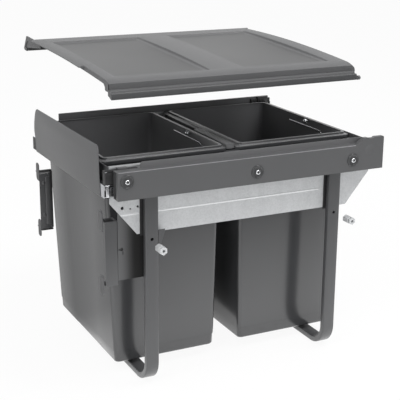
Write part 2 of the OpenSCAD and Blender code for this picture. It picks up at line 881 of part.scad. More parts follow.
// The arch in straight steps: its height at a step, and between two steps
lid_y = face_y + lid_setback;
arch_step = lid_d / arch_steps;
function step_y(k) = lid_y + k * arch_step;
function step_top(k) = arch_z - lid_arch_r + sqrt(pow(lid_arch_r, 2) - pow(arch_y - step_y(k), 2));
function arch_top(y) =
    let (k = floor((y - lid_y) / arch_step), along = (y - step_y(k)) / arch_step)
    step_top(k) * (1 - along) + step_top(k + 1) * along;

// The arch's points between two depths, lowered by a given amount
function arch_points(y, down) = [
    [y[0], arch_top(y[0]) - down],
    for (k = [floor((y[0] - lid_y) / arch_step) + 1 : ceil((y[1] - lid_y) / arch_step) - 1])
        [step_y(k), step_top(k) - down],
    [y[1], arch_top(y[1]) - down]];

function reversed(list) = [for (k = [len(list) - 1 : -1 : 0]) list[k]];

// An arched slab: x is [from, to], depth is measured down from the lid's top
module arched_slab(x, y, depth) {
    along_x(x[0], x[1] - x[0])
        polygon(concat(arch_points(y, depth[0]), reversed(arch_points(y, depth[1]))));
}

field_w = 189;
field_pitch = 255.6;
field_shift = -5.5;
field_setback = 31;
field_l = 337;

function field_x(side) = lid_x + lid_w / 2 + field_shift + side * field_pitch / 2 - field_w / 2;

ledge_d = 12;
ledge_h = 14;
bead_h = 2.5;
apron_step = 4;
apron_h = 12;
apron_left = 6;
apron_right = 4;
rear_slope_d = 61;
rear_slope_h = 17;
rear_apron_h = 13;

module lid_front() {
    y = lid_y;
    z = arch_top(y);
    z1 = z - ledge_h;
    z2 = z1 - bead_h;
    color(light_grey) along_x(lid_x, lid_w) polygon([[y, z - lid_t / 2], [y + lid_t, z - lid_t / 2],
        [y + lid_t, z1 - lid_t], [y, z1 - lid_t]]);
    color(light_grey) along_x(lid_x - apron_left, lid_w + apron_left + apron_right)
        polygon([[y + lid_t, z1], [y - ledge_d, z1 - bead_h / 2], [y - ledge_d, z2],
                 [y - ledge_d - apron_step, z2 - bead_h / 2], [y - ledge_d - apron_step, z2 - apron_h],
                 [y - ledge_d - apron_step + lid_t, z2 - apron_h],
                 [y - ledge_d - apron_step + lid_t, z2 - bead_h / 2 - lid_t],
                 [y - ledge_d + lid_t, z2 - lid_t], [y - ledge_d + lid_t, z1 - bead_h / 2 - lid_t],
                 [y + lid_t, z1 - lid_t]]);
}

module lid_rear() {
    y = lid_y + lid_d;
    z = arch_top(y);
    y1 = y + rear_slope_d;
    z1 = z - rear_slope_h;
    color(light_grey) along_x(lid_x, lid_w) polygon([[y - lid_t, z - lid_t / 2], [y, z - lid_t / 2],
        [y, z], [y1, z1], [y1, z1 - rear_apron_h], [y1 - lid_t, z1 - rear_apron_h],
        [y1 - lid_t, z1 - lid_t], [y - lid_t, z - lid_t - lid_t / 2]]);
}

module lid_panel() {
    y0 = lid_y;
    y1 = y0 + lid_d;
    x1 = lid_x + lid_w;
    fy = [y0 + field_setback, y0 + field_setback + field_l];
    color(light_grey) union() {
        difference() {
            union() {
                arched_slab([lid_x, x1], [y0, y1], [0, lid_t]);
                for (side = [-1, 1])
                    arched_slab([field_x(side) - lid_t, field_x(side) + field_w + lid_t],
                                [fy[0] - lid_t, fy[1] + lid_t], [0, field_depth + lid_t]);
            }
            for (side = [-1, 1])
                arched_slab([field_x(side), field_x(side) + field_w], fy, [-over, field_depth]);
        }
        arched_slab([x1 - lid_t, x1], [y0, y1], [0, skirt_h]);
        arched_slab([lid_x, lid_x + lid_t], [y0, y0 + front_skirt_l], [0, skirt_h]);
        arched_slab([lid_x - skirt_flare, lid_x + lid_t],
                    [y0 + front_skirt_l, y1 + rear_slope_d - hanger_l],
                    [lid_t / 2, lid_t / 2 + skirt_flare]);
        lid_front();
        lid_rear();
    }
}

hanger_t = 2.5;
hanger_h = 11;
hanger_tail = 10;

module lid_hanger() {
    y1 = lid_y + lid_d + rear_slope_d + hanger_tail;
    y0 = y1 - hanger_l;
    z = arch_z;
    low = arch_top(lid_y + lid_d) - rear_slope_h - rear_apron_h;
    color(light_grey) along_x(lid_x - hanger_t, hanger_t) polygon([[y0, z - hanger_t],
        [y1 - hanger_tail / 2, z], [y1, low + hanger_tail / 2], [y1 - hanger_tail, low],
        [y1 - hanger_tail - hanger_t, low], [y1 - hanger_tail - hanger_t, z - hanger_h],
        [y0, z - hanger_h]]);
}

peg_r = 3.5;
peg_l = 7;
peg_up = 4;

module lid_peg() {
    y = lid_y - ledge_d - apron_step + peg_r;
    z = arch_top(lid_y) - ledge_h - bead_h - apron_h + peg_up;
    color(anthracite) rod_x(lid_x + lid_w + apron_right, y, z, peg_r, peg_l);
}

// Spacers between the legs and the cabinet's front

spacer_left_shift = 5.5;
spacer_left_drop = 1.5;
spacer_head_l = 5;
spacer_groove_l = 2;
spacer_groove_r = 5;
spacer_bore_r = 2.1;

module spacer(x, z) {
    corner_r = spacer_af / 2 / cos(30);
    body_l = spacer_l - spacer_head_l - spacer_groove_l;
    color(bright) translate([x, leg_y - spacer_rest, z]) rotate([90, 0, 0]) difference() {
        union() {
            cylinder(r = corner_r, h = body_l, $fn = 6);
            translate([0, 0, body_l - over])
                cylinder(r = spacer_groove_r, h = spacer_groove_l + 2 * over);
            translate([0, 0, body_l + spacer_groove_l])
                cylinder(r = corner_r, h = spacer_head_l, $fn = 6);
        }
        translate([0, 0, -over]) cylinder(r = spacer_bore_r, h = spacer_l + 2 * over);
    }
}

module left_spacer()
    spacer(leg_x(-1) - spacer_left_shift, base_z - leg_hole_drop - spacer_left_drop);

module right_spacer() spacer(leg_x(1), base_z - leg_hole_drop);

left_side_plate();
left_fixed_rail();
right_fixed_rail();
right_rail_packer();
wall_bracket_front();
wall_bracket_rear();
left_mid_rail();
right_mid_rail();
left_outer_cage();
right_outer_cage();
left_inner_cage();
right_inner_cage();
left_inner_rail();
right_inner_rail();
left_side_frame();
right_side_frame();
front_rail();
front_strip();
cross_plate();
corner_cap();
rear_plate();
rear_rail();
rear_latch();
middle_bar();
bin_divider();
left_leg();
right_leg();
keyhole_plate();
rail_washers();
rail_screws();
rail_nuts();
leg_bolts();
leg_nuts();
left_bin();
right_bin();
bag_wires();
bag_knobs();
lid_panel();
lid_hanger();
lid_peg();
left_spacer();
right_spacer();
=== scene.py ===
import math

import bmesh
import bpy
from mathutils import Matrix, Vector


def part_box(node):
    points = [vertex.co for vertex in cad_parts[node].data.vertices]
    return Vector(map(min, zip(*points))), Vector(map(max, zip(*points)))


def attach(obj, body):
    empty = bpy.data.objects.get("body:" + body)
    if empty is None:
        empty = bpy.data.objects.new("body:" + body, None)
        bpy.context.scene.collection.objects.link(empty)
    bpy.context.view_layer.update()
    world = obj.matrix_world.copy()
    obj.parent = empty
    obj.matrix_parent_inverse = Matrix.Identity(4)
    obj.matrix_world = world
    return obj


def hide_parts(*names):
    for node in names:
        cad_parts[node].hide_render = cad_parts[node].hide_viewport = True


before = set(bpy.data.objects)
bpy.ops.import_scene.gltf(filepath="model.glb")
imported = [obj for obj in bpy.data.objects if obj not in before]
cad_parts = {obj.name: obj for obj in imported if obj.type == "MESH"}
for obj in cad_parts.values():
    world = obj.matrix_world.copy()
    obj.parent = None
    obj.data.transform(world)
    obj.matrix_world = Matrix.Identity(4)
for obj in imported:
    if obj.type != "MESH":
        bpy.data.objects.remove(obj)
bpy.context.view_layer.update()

# The camera stands to the left of the unit and a little above it, as the photographer did. It is
# turned by less than half a degree about its line of sight.
scene = bpy.context.scene
scene.view_settings.view_transform = "Standard"
azimuth, elevation, roll = math.radians(26.26), math.radians(16.75), math.radians(0.44)
forward = Vector((math.sin(azimuth) * math.cos(elevation),
                  math.cos(azimuth) * math.cos(elevation), -math.sin(elevation)))
across = Vector((math.cos(azimuth), -math.sin(azimuth), 0))
above = across.cross(forward)
tilted = across * math.cos(roll) + above * math.sin(roll)
upright = above * math.cos(roll) - across * math.sin(roll)
camera = bpy.data.objects.new("camera", bpy.data.cameras.new("camera"))
camera.data.lens = 91.76
camera.data.sensor_width = 36
aim = Matrix((tilted, upright, -forward)).transposed().to_4x4()
camera.matrix_world = Matrix.Translation((-0.5907, -1.7710, 0.6065)) @ aim
scene.collection.objects.link(camera)
scene.camera = camera


# The studio: a white floor and a white backdrop behind the unit, with a darker room in front. One
# broad soft lamp hangs high on the left, one overhead on the right, and a weak one at the front.
# The floor lies under the feet and keeps a faint shadow.
class Wire:
    """A socket's output, on which Python's signs add Math nodes."""

    def __init__(self, nodes, output):
        self.nodes = nodes
        self.output = output

    def maths(self, operation, *values):
        return self.nodes.node("ShaderNodeMath", {"operation": operation}, *values)

    def __add__(self, other):
        return self.maths("ADD", self, other)

    __radd__ = __add__

    def __sub__(self, other):
        return self.maths("SUBTRACT", self, other)

    def __rsub__(self, other):
        return self.maths("SUBTRACT", other, self)

    def __mul__(self, other):
        return self.maths("MULTIPLY", self, other)

    __rmul__ = __mul__

    def __truediv__(self, other):
        return self.maths("DIVIDE", self, other)

    def __rtruediv__(self, other):
        return self.maths("DIVIDE", other, self)

    def __gt__(self, other):
        return self.maths("GREATER_THAN", self, other)

    def __lt__(self, other):
        return self.maths("LESS_THAN", self, other)

    def __abs__(self):
        return self.maths("ABSOLUTE", self)

    def least(self, other):
        return self.maths("MINIMUM", self, other)

    def most(self, other):
        return self.maths("MAXIMUM", self, other)


class Nodes:
    """A node tree, and the one way in which nodes are added to it."""

    def __init__(self, tree):
        self.tree = tree

    def fill(self, socket, value):
        if isinstance(value, Wire):
            self.tree.links.new(value.output, socket)
        else:
            socket.default_value = (*value, 1) if socket.type == "RGBA" else value

    def node(self, kind, settings=None, *values, out=0, **named):
        """Adds a node: first its settings, then its sockets, where None leaves one alone."""
        made = self.tree.nodes.new(kind)
        for name, value in (settings or {}).items():
            setattr(made, name, value)
        for place, value in [*enumerate(values), *named.items()]:
            if value is not None:
                self.fill(made.inputs[place], value)
        return Wire(self, made.outputs[out])


class Finish(Nodes):
    """A material with one Principled shader, whose patterns lie on Object coordinates."""

    def __init__(self, name, colour, roughness, metallic=0.0, **fixed):
        self.material = bpy.data.materials.new(name)
        self.material.use_nodes = True
        super().__init__(self.material.node_tree)
        self.shader = self.tree.nodes["Principled BSDF"]
        self.feed(Base_Color=colour, Roughness=roughness, Metallic=metallic, **fixed)

    def feed(self, **sockets):
        for name, value in sockets.items():
            self.fill(self.shader.inputs[name.replace("_", " ")], value)

    def place(self):
        return self.node("ShaderNodeTexCoord", out="Object")

    def along(self, axis):
        return self.node("ShaderNodeSeparateXYZ", None, self.place(), out=axis)

    def stretch(self, factors):
        return self.node("ShaderNodeVectorMath", {"operation": "MULTIPLY"}, self.place(), factors)

    def noise(self, scale, detail, factors=None):
        where = self.stretch(factors) if factors else self.place()
        return self.node("ShaderNodeTexNoise", None, Vector=where, Scale=scale, Detail=detail,
                         out="Fac")

    def ramp(self, wire, start, end, first, last, **settings):
        return self.node("ShaderNodeMapRange", settings, wire, start, end, first, last)

    def blend(self, wire, dark, light):
        """Mixes two colours. Five sockets of a Mix node belong to its other types of value."""
        return self.node("ShaderNodeMix", {"data_type": "RGBA"}, wire, *[None] * 5, dark, light,
                         out=2)

    def relief(self, wire, strength, distance):
        return self.node("ShaderNodeBump", None, Strength=strength, Distance=distance, Height=wire)


white = Finish("studio_white", (0.95, 0.95, 0.95), 0.9)
camera_ray = white.node("ShaderNodeLightPath", out="Is Camera Ray")
glossy_ray = white.node("ShaderNodeLightPath", out="Is Glossy Ray")
front_to_back = white.along("Y")
paper = white.ramp(front_to_back, -1.7, -0.6, 0.12, 1.0) \
    + white.ramp(front_to_back, -0.98, -0.32, 0.0, 1.4) \
    - white.ramp(front_to_back, -0.25, 0.15, 0.0, 1.68)
glow = white.node("ShaderNodeEmission", None, (1, 1, 1),
                  glossy_ray * paper + camera_ray * (1 - glossy_ray))
shown = white.node("ShaderNodeMixShader", None, camera_ray * 0.93 + glossy_ray * 0.9,
                   Wire(white, white.shader.outputs[0]), glow)
white.fill(white.tree.nodes["Material Output"].inputs["Surface"], shown)

floor_z = -0.2655
floor = bmesh.new()
bmesh.ops.create_grid(floor, x_segments=2, y_segments=2, size=30)
bmesh.ops.translate(floor, vec=(0, 0, floor_z), verts=floor.verts)
ground = bpy.data.objects.new("floor", bpy.data.meshes.new("floor"))
floor.to_mesh(ground.data)
floor.free()
ground.data.materials.append(white.material)
scene.collection.objects.link(ground)

room = bpy.data.worlds.new("room")
scene.world = room
room.use_nodes = True
air = Nodes(room.node_tree)
soft_sky = air.tree.nodes["Background"]
air.fill(soft_sky.inputs["Color"], (1, 1, 1))
air.fill(soft_sky.inputs["Strength"], 0.52)
glossy, seen, through = [air.node("ShaderNodeLightPath", out=f"Is {kind} Ray")
                         for kind in ("Glossy", "Camera", "Transmission")]
facing = air.node("ShaderNodeSeparateXYZ", None, air.node("ShaderNodeTexCoord", out="Generated"),
                  out="Y")
backdrop = air.node("ShaderNodeMapRange", None, facing, -0.5, 0.35, 0.30, 1.0)
mirrored_sky = air.node("ShaderNodeBackground", None, (1, 1, 1), backdrop)
white_sky = air.node("ShaderNodeBackground", None, (1, 1, 1), 1.0)
lit = air.node("ShaderNodeMixShader", None, glossy, Wire(air, soft_sky.outputs[0]), mirrored_sky)
shown = air.node("ShaderNodeMixShader", None, seen.most(through), lit, white_sky)
air.fill(air.tree.nodes["World Output"].inputs["Surface"], shown)

for name, place, size, power in (("high_left", (-2.0, -1.5, 2.8), 2.0, 54),
                                 ("overhead", (1.3, -0.7, 2.7), 1.5, 48),
                                 ("front", (1.0, -3.6, 1.2), 2.0, 20)):
    light = bpy.data.lights.new(name, "AREA")
    light.shape = "DISK"
    light.size = size
    light.energy = power
    lamp = bpy.data.objects.new(name, light)
    lamp.location = place
    lamp.rotation_mode = "QUATERNION"
    towards_unit = Vector((0.25, 0.0, 0.0)) - Vector(place)
    lamp.rotation_quaternion = towards_unit.to_track_quat("-Z", "Y")
    scene.collection.objects.link(lamp)


# Powder coat of the frame, brackets and legs: steel sheet sprayed and baked to a dark grey satin
# film, which has a very fine orange peel. The strip on the front rail has a lighter copy of the
# coat, which is painted light that makes up for the lid's shade over it.
def powder_coat(name, colour, roughness, grain=1.0):
    finish = Finish(name, colour, roughness)
    cloud = finish.noise(14, 3)
    speck = finish.noise(1400, 1)
    dark = [0.93 * c for c in colour]
    light = [1.07 * c for c in colour]
    finish.feed(Base_Color=finish.blend(cloud * 0.7 + speck * 0.3, dark, light),
                Roughness=roughness + 0.10 * (speck - 0.5) + 0.06 * (cloud - 0.5),
                Normal=finish.relief(speck, 0.12 * grain, 0.0002))
    return finish.material


def dress(finish, *nodes):
    for name in nodes:
        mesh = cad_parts[name].data
        mesh.materials.clear()
        mesh.materials.append(finish)


dark_coat = powder_coat("dark_powder_coat", (0.086, 0.087, 0.090), 0.42)
dress(dark_coat, "left_side_frame", "right_side_frame", "middle_bar")
# The strip's lighter coat is painted light against the shade of the lid.
dress(powder_coat("strip_painted_light_coat", (0.150, 0.151, 0.155), 0.42), "front_strip")

# Galvanised sheet of the cross plate and the rear plate: zinc crystals of a few millimetres, each
# of its own brightness. A bead is rolled along the cross plate at half its height, and ends short
# of the right leg.
galvanised = Finish("galvanised_sheet", (0.60, 0.61, 0.62), 0.42, 0.55)
crystals = galvanised.node("ShaderNodeTexVoronoi", {"feature": "F1"}, Vector=galvanised.place(),
                           Scale=420.0, out="Color")
crystal = galvanised.node("ShaderNodeSeparateColor", None, crystals, out="Red")
smear = galvanised.noise(60, 3, (1.0, 1.0, 0.4))
bead_height, bead_width, bead_end = 0.0680, 0.0022, 0.44
from_bead = abs(galvanised.along("Z") - bead_height)
bead = (1 - (from_bead / bead_width).least(1.0)) * (galvanised.along("X") < bead_end)
galvanised.feed(Base_Color=galvanised.blend(crystal * 0.45 + smear * 0.55,
                                            (0.46, 0.47, 0.48), (0.62, 0.63, 0.64)),
                Roughness=0.36 + 0.14 * crystal,
                Normal=galvanised.relief(bead + 0.04 * crystal, 0.6, 0.0012))
dress(galvanised.material, "cross_plate", "rear_plate")

# Rolled rails and ball cages of the runners: bright zinc strip, with faint drawing lines along
# their length. The nuts have the same plating.
rolled = Finish("rolled_zinc", (0.62, 0.63, 0.65), 0.28, 1.0)
drawn = rolled.noise(900, 2, (1.0, 0.02, 1.0))
rolled.feed(Base_Color=rolled.blend(drawn, (0.50, 0.51, 0.53), (0.72, 0.73, 0.75)),
            Roughness=0.22 + 0.14 * drawn, Normal=rolled.relief(drawn, 0.15, 0.0002))
dress(rolled.material, "rail_nuts", "leg_nuts",
      *[f"{side}_{piece}" for side in ("left", "right")
        for piece in ("fixed_rail", "mid_rail", "inner_rail", "outer_cage", "inner_cage")])

# Black moulded plastic of the packer behind the right runner. The rail's end cap, the latch and
# the seals are moulded from the same plastic. Its black also serves as painted shade: strips in
# and beside the wall brackets, beside the legs and along the top of the cross plate.
black = Finish("black_moulding", (0.014, 0.014, 0.015), 0.45)
pebble = black.noise(1100, 2)
black.feed(Base_Color=black.blend(black.noise(30, 2),
                                  (0.011, 0.011, 0.012), (0.018, 0.018, 0.019)),
           Roughness=0.40 + 0.14 * pebble, Normal=black.relief(pebble, 0.12, 0.0002))
dress(black.material, "right_rail_packer")


# The front rail: a moulding 545 mm long with a raised right end, reached by a short ramp. Its
# front face is flat, its edges are rounded, and its back part is only as high as the bar. A small
# slot is moulded into its left end, and a shallow dish into its raised end.
def face_of(bm, points):
    return bm.faces.new([bm.verts.new(p) for p in points])


def push(bm, faces, offset):
    """Extrudes faces and moves them. The first push of a lone face keeps it as the other end."""
    lone = all(g in faces for f in faces for e in f.edges for g in e.link_faces)
    made = bmesh.ops.extrude_face_region(bm, geom=faces)["geom"]
    if not lone:
        bmesh.ops.delete(bm, geom=faces, context="FACES_ONLY")
    moved = [g for g in made if isinstance(g, bmesh.types.BMVert)]
    bmesh.ops.translate(bm, vec=offset, verts=moved)
    return [g for g in made if isinstance(g, bmesh.types.BMFace)]


def along_y(bm, start, length, outline):
    """Draws an outline of X and Z, and pushes it towards the back."""
    face = face_of(bm, [(x, start, z) for x, z in outline])
    push(bm, [face], (0, length, 0))


def parts_of(faces):
    return list(dict.fromkeys(g for f in faces for g in (f, *f.edges, *f.verts)))


def cut(bm, axis, place, geom=None):
    """Cuts a mesh, or only some parts of it, across an axis."""
    axis = Vector(axis)
    geom = bm.verts[:] + bm.edges[:] + bm.faces[:] if geom is None else geom
    return bmesh.ops.bisect_plane(bm, geom=geom, dist=1e-4, plane_co=axis * place,
                                  plane_no=axis)["geom"]


def round_over(bm, edges, width, segments=3, affect="EDGES"):
    bmesh.ops.bevel(bm, geom=list(edges), offset=width, segments=segments, affect=affect,
                    profile=0.5, material=-1, clamp_overlap=True)


def sharp(bm, test=lambda place: True, least=25):
    """The edges that turn by more than the least angle and have both ends where the test says."""
    bmesh.ops.recalc_face_normals(bm, faces=bm.faces)
    return [e for e in bm.edges if len(e.link_faces) == 2
            and math.degrees(e.calc_face_angle(0)) > least and all(test(v.co) for v in e.verts)]


def whole(bm, name, body, slot, finish, *nodes):
    """Makes a mesh in millimetres a piece in metres, on its body and in place of its nodes."""
    bmesh.ops.scale(bm, vec=(0.001, 0.001, 0.001), verts=bm.verts)
    bmesh.ops.remove_doubles(bm, verts=bm.verts, dist=2e-6)
    bmesh.ops.recalc_face_normals(bm, faces=bm.faces)
    for face in bm.faces:
        face.smooth = True
    for edge in bm.edges:
        edge.smooth = edge.calc_face_angle(0) < math.radians(33)
    mesh = bpy.data.meshes.new(name)
    bm.to_mesh(mesh)
    bm.free()
    mesh.materials.append(finish)
    made = bpy.data.objects.new(name, mesh)
    scene.collection.objects.link(made)
    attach(made, body)
    if nodes:
        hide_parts(*nodes)
    return made


rail_x0, rail_x1, rail_z0, rail_z1 = 16.5, 561.5, 104, 154
rail_front, rail_back, face_depth = -226, -206, 8
raised, ramp_foot, chamfer = 166.7, 499.0, 1.9
rail = bmesh.new()
along_y(rail, rail_front, face_depth,
        [(rail_x0, rail_z0), (rail_x1, rail_z0), (rail_x1, raised - chamfer),
         (rail_x1 - chamfer, raised), (ramp_foot + 41.9, raised),
         (ramp_foot + 38.8, raised - chamfer), (ramp_foot + 30.6, raised - chamfer),
         (ramp_foot + 25.6, raised), (ramp_foot + 17.5, raised), (ramp_foot, rail_z1),
         (rail_x0, rail_z1)])
cut(rail, (0, 0, 1), rail_z1)
rear = [f for f in rail.faces if f.calc_center_median().y > rail_front + face_depth - 0.1
        and f.calc_center_median().z < rail_z1]
push(rail, rear, (0, rail_back - rail_front - face_depth, 0))
round_over(rail, sharp(rail, lambda p: p.y < rail_front + 0.1), 1.7, 4)
round_over(rail, sharp(rail, lambda p: p.x < rail_x0 + 0.1 and p.y > rail_front + 1), 0.8, 2)

slot_y, slot_z, slot_depth = (-213, -207), (128.4, 135.8), 7
left_end = [f for f in rail.faces if f.calc_center_median().x < rail_x0 + 0.1]
geom = parts_of(f for f in left_end if f.calc_center_median().y > -212)
for axis, places in (((0, 1, 0), slot_y), ((0, 0, 1), slot_z)):
    for place in places:
        geom = cut(rail, axis, place, geom)
slot = [f for f in rail.faces if f.calc_center_median().x < rail_x0 + 0.1
        and slot_y[0] < f.calc_center_median().y < slot_y[1]
        and slot_z[0] < f.calc_center_median().z < slot_z[1]]
push(rail, slot, (slot_depth, 0, 0))

rail_plastic = Finish("rail_plastic", (0.088, 0.089, 0.092), 0.40)
grain = rail_plastic.noise(1500, 1)
dish_place, dish_radius = (0.5306, 0, 0.1419), 0.011
from_dish = rail_plastic.node("ShaderNodeVectorMath", {"operation": "DISTANCE"},
                              rail_plastic.stretch((1, 0, 1)), dish_place, out="Value")
dish = (from_dish / dish_radius).least(1.0)
rail_plastic.feed(Base_Color=rail_plastic.blend(rail_plastic.noise(9, 3),
                                                (0.083, 0.084, 0.087), (0.093, 0.094, 0.097)),
                  Roughness=0.36 + 0.10 * grain,
                  Normal=rail_plastic.relief(dish * dish + 0.02 * grain, 0.5, 0.0016))
whole(rail, "front_rail_moulding", "drawer", "grey_plastic", rail_plastic.material, "front_rail")


# Finishing washers and screws: each washer is a turned ring with a raised rim, and the screw's
# button head with a hexagon socket sits down in its dish. Two bolts hold each leg to the plate.
# The washers' darker coat is painted shade of the recess around them.
def lathe(bm, centre, axis, profile, steps=48):
    """Turns points of radius and height about an axis through the centre."""
    axis = Vector(axis)
    side = axis.orthogonal().normalized()
    spine = [bm.verts.new(Vector(centre) + side * r + axis * h) for r, h in profile]
    edges = [bm.edges.new(pair) for pair in zip(spine, spine[1:])]
    bmesh.ops.spin(bm, geom=spine + edges, cent=centre, axis=axis, angle=math.tau, steps=steps,
                   use_merge=True, use_duplicate=False)
    bmesh.ops.remove_doubles(bm, verts=bm.verts, dist=1e-3)


def ring_of(bm, place, axis, radius, segments, cap_ends=False):
    """A circle across an axis: its vertices and its edges."""
    axis = Vector(axis)
    turn = Vector((0, 0, 1)).rotation_difference(axis).to_matrix().to_4x4()
    verts = bmesh.ops.create_circle(bm, cap_ends=cap_ends, radius=radius, segments=segments,
                                    matrix=Matrix.Translation(place) @ turn)["verts"]
    return verts, list(dict.fromkeys(e for v in verts for e in v.link_edges))


screw_places = [(33.8, 136.8), (286.8, 126.1), (492.8, 126.2)]
washers = bmesh.new()
for x, z in screw_places:
    lathe(washers, (x, rail_front, z), (0, -1, 0),
          [(3.2, 0.0), (12.5, 0.0), (12.5, 1.2), (12.1, 1.65), (11.2, 1.8), (10.4, 1.55),
           (9.6, 0.7), (8.0, 0.35), (3.2, 0.3), (3.2, 0.0)])
# A darker coat than the rail's: painted shade of the recess around the washers.
washer_painted_shade_coat = powder_coat("washer_painted_shade_coat", (0.050, 0.051, 0.053), 0.33)
whole(washers, "finishing_washers", "drawer", "painted", washer_painted_shade_coat, "rail_washers")

bright = Finish("bright_zinc", (0.74, 0.75, 0.77), 0.24, 1.0)
turned_lines = bright.noise(700, 2)
bright.feed(Base_Color=bright.blend(turned_lines, (0.62, 0.63, 0.65), (0.82, 0.83, 0.85)),
            Roughness=0.18 + 0.14 * turned_lines, Normal=bright.relief(turned_lines, 0.1, 0.0001))
# Black floor of each screw's socket: painted shade in the socket.
socket_shade = Finish("socket_painted_shade", (0.006, 0.006, 0.006), 0.8)
socket_shade.feed(Base_Color=socket_shade.blend(socket_shade.noise(900, 1),
                                          (0.003, 0.003, 0.003), (0.010, 0.010, 0.010)))


def socket_screws(name, node, places, shank, length, head=4.7, height=3.0, socket=2.1, depth=1.8):
    """Button heads that face forwards, each with a plain shank behind it and a socket whose
    black floor is painted shade.
    """
    screws = bmesh.new()
    axis = Vector((0, -1, 0))
    for place in places:
        place = Vector(place)
        lathe(screws, place, axis, [(shank, -length), (shank, 0), (head, 0), (head, height * 0.35),
                                    (head * 0.93, height * 0.7), (head * 0.8, height * 0.93),
                                    (socket * 1.35, height)], 36)
        rim = [e for e in screws.edges if e.is_boundary
               and (sum((v.co for v in e.verts), Vector()) / 2 - place).dot(axis) > height * 0.9
               and (e.verts[0].co - place).length < head * 2]
        verts, ring = ring_of(screws, place + axis * height, axis, socket, 6, cap_ends=True)
        bottom = list(verts[0].link_faces)
        bmesh.ops.bridge_loops(screws, edges=rim + ring)
        for face in push(screws, bottom, axis * -depth):
            face.material_index = 1
    made = whole(screws, name, "drawer", "bright_steel", bright.material, node)
    made.data.materials.append(socket_shade.material)


leg_places = (88.5, 469.5)
socket_screws("rail_socket_screws", "rail_screws",
              [(x, rail_front - 0.9, z) for x, z in screw_places], 2.9, 38.0)
socket_screws("leg_socket_bolts", "leg_bolts",
              [(x, rail_back, z) for x in leg_places for z in (116, 138)], 2.4, 18.6)


# A light strip along the top edge of the front rail, standing a little proud: a painted highlight
# where the rolled edge catches the light.
def bar_between(bm, x, y, z, width=0.5, segments=2):
    """A bar between two corners, with its edges rounded."""
    made = bmesh.ops.create_cube(bm, size=1.0)["verts"]
    bmesh.ops.scale(bm, vec=(x[1] - x[0], y[1] - y[0], z[1] - z[0]), verts=made)
    bmesh.ops.translate(bm, vec=((x[0] + x[1]) / 2, (y[0] + y[1]) / 2, (z[0] + z[1]) / 2),
                        verts=made)
    round_over(bm, dict.fromkeys(e for v in made for e in v.link_edges), width, segments)


bead = bmesh.new()
bar_between(bead, (rail_x0 + 1.5, ramp_foot - 1), (rail_front - 0.15, rail_front + 1.9),
            (rail_z1 - 1.2, rail_z1 + 0.15))
# Lighter grey than the rail: a painted highlight.
whole(bead, "front_rail_painted_highlight", "drawer", "grey_plastic",
      powder_coat("rail_edge_painted_highlight", (0.21, 0.21, 0.22), 0.36))

# The cap behind the rail's left end: black plastic, with a foot over the runner's end and an arm
# along the top of the cross plate. Its black is partly painted shade of the recess behind the
# rail, and the arm is a black strip of painted shade laid over the shaded cross plate. A bent zinc
# tab of the inner rail stands in front of its foot.
cap = bmesh.new()
bar_between(cap, (1.9, 46), (-205.9, -193.0), (128.8, 150.6))
# The arm: a black strip of painted shade along the top of the cross plate.
bar_between(cap, (1.9, 64), (-204.7, -193.2), (150.9, 153.6))
bar_between(cap, (1.5, 10.6), (-204.6, -202.3), (105.2, 128.4), 0.3)
whole(cap, "corner_cap_moulding", "drawer", "black_plastic", black.material, "corner_cap")
lug = bmesh.new()
bar_between(lug, (26, 44), (-205.6, -196), (153.7, 156.6))
whole(lug, "corner_cap_lug", "drawer", "grey_plastic", rail_plastic.material)
tab = bmesh.new()
bar_between(tab, (3.4, 9.2), (-206.6, -204.8), (107.4, 128.2), 1.4, 4)
bar_between(tab, (0.9, 16.2), (-207.0, -204.8), (127.8, 129.2), 0.4)
bar_between(tab, (0.6, 1.6), (-206.6, -204.8), (120.5, 128.4), 0.3)
bar_between(tab, (-0.6, 5.0), (-206.4, -204.8), (107.6, 108.6), 0.3)
bar_between(tab, (1.8, 5.2), (-205.8, -205.0), (151.4, 152.4), 0.2)
whole(tab, "inner_rail_tab", "drawer", "zinc", bright.material)


# The left side plate: one blank of thin sheet with rounded corners, sprayed grey. Its upper edge
# is hemmed to a double thickness, which gives it a soft bright line. Black stops end the runner.
def along_x(bm, start, length, outline):
    """Draws an outline of Y and Z, and pushes it towards the right."""
    face = face_of(bm, [(start, y, z) for y, z in outline])
    push(bm, [face], (length, 0, 0))


side_plate = bmesh.new()
thickness, hem_z, hem = 1.2, 174, 1.0
along_x(side_plate, 0, thickness,
        [(-184, 104), (-179, 168), (-177, 185), (-174.5, 190), (-169, 193), (166, 191.5),
         (171, 189.5), (176.2, 184.5), (181.5, 174.6), (185.5, 163), (187.4, 152),
         (187.6, 142.5), (183.6, 132), (180.6, 118), (178.2, 102)])
for vert in side_plate.verts:
    if vert.co.z > hem_z and vert.co.x > thickness / 2:
        vert.co.x += hem
round_over(side_plate, sharp(side_plate, least=50), 0.55, 3)
grey_paint = powder_coat("grey_paint", (0.092, 0.093, 0.096), 0.38)
whole(side_plate, "side_plate_sheet", "wall_side", "grey_paint", grey_paint, "left_side_plate")
stop = bmesh.new()
bar_between(stop, (2.6, 9.6), (198.3, 203.5), (116.5, 124), 1.2, 3)
bar_between(stop, (2.6, 9.6), (198.3, 201.5), (106.5, 115.8), 1.2, 3)
bar_between(stop, (0.1, 1.1), (178.5, 199.5), (103.6, 128.9), 0.2, 1)
whole(stop, "runner_end_stop", "wall_side", "black_plastic", black.material)


# The legs: flat bar bent into a long foot, with rounded edges, sprayed with the dark coat. Each
# has a hole for the screw of the cabinet's front, with a black seal behind it, and a black strip
# beside the bar, which is painted shade of the gap beside the leg. A small gusset is welded to the
# left leg.
def clear_inside(bm):
    """Deletes the faces that an extrusion leaves across the inside of a bar."""
    inside = [f for f in bm.faces if all(len(e.link_faces) > 2 for e in f.edges)]
    bmesh.ops.delete(bm, geom=inside, context="FACES_ONLY")


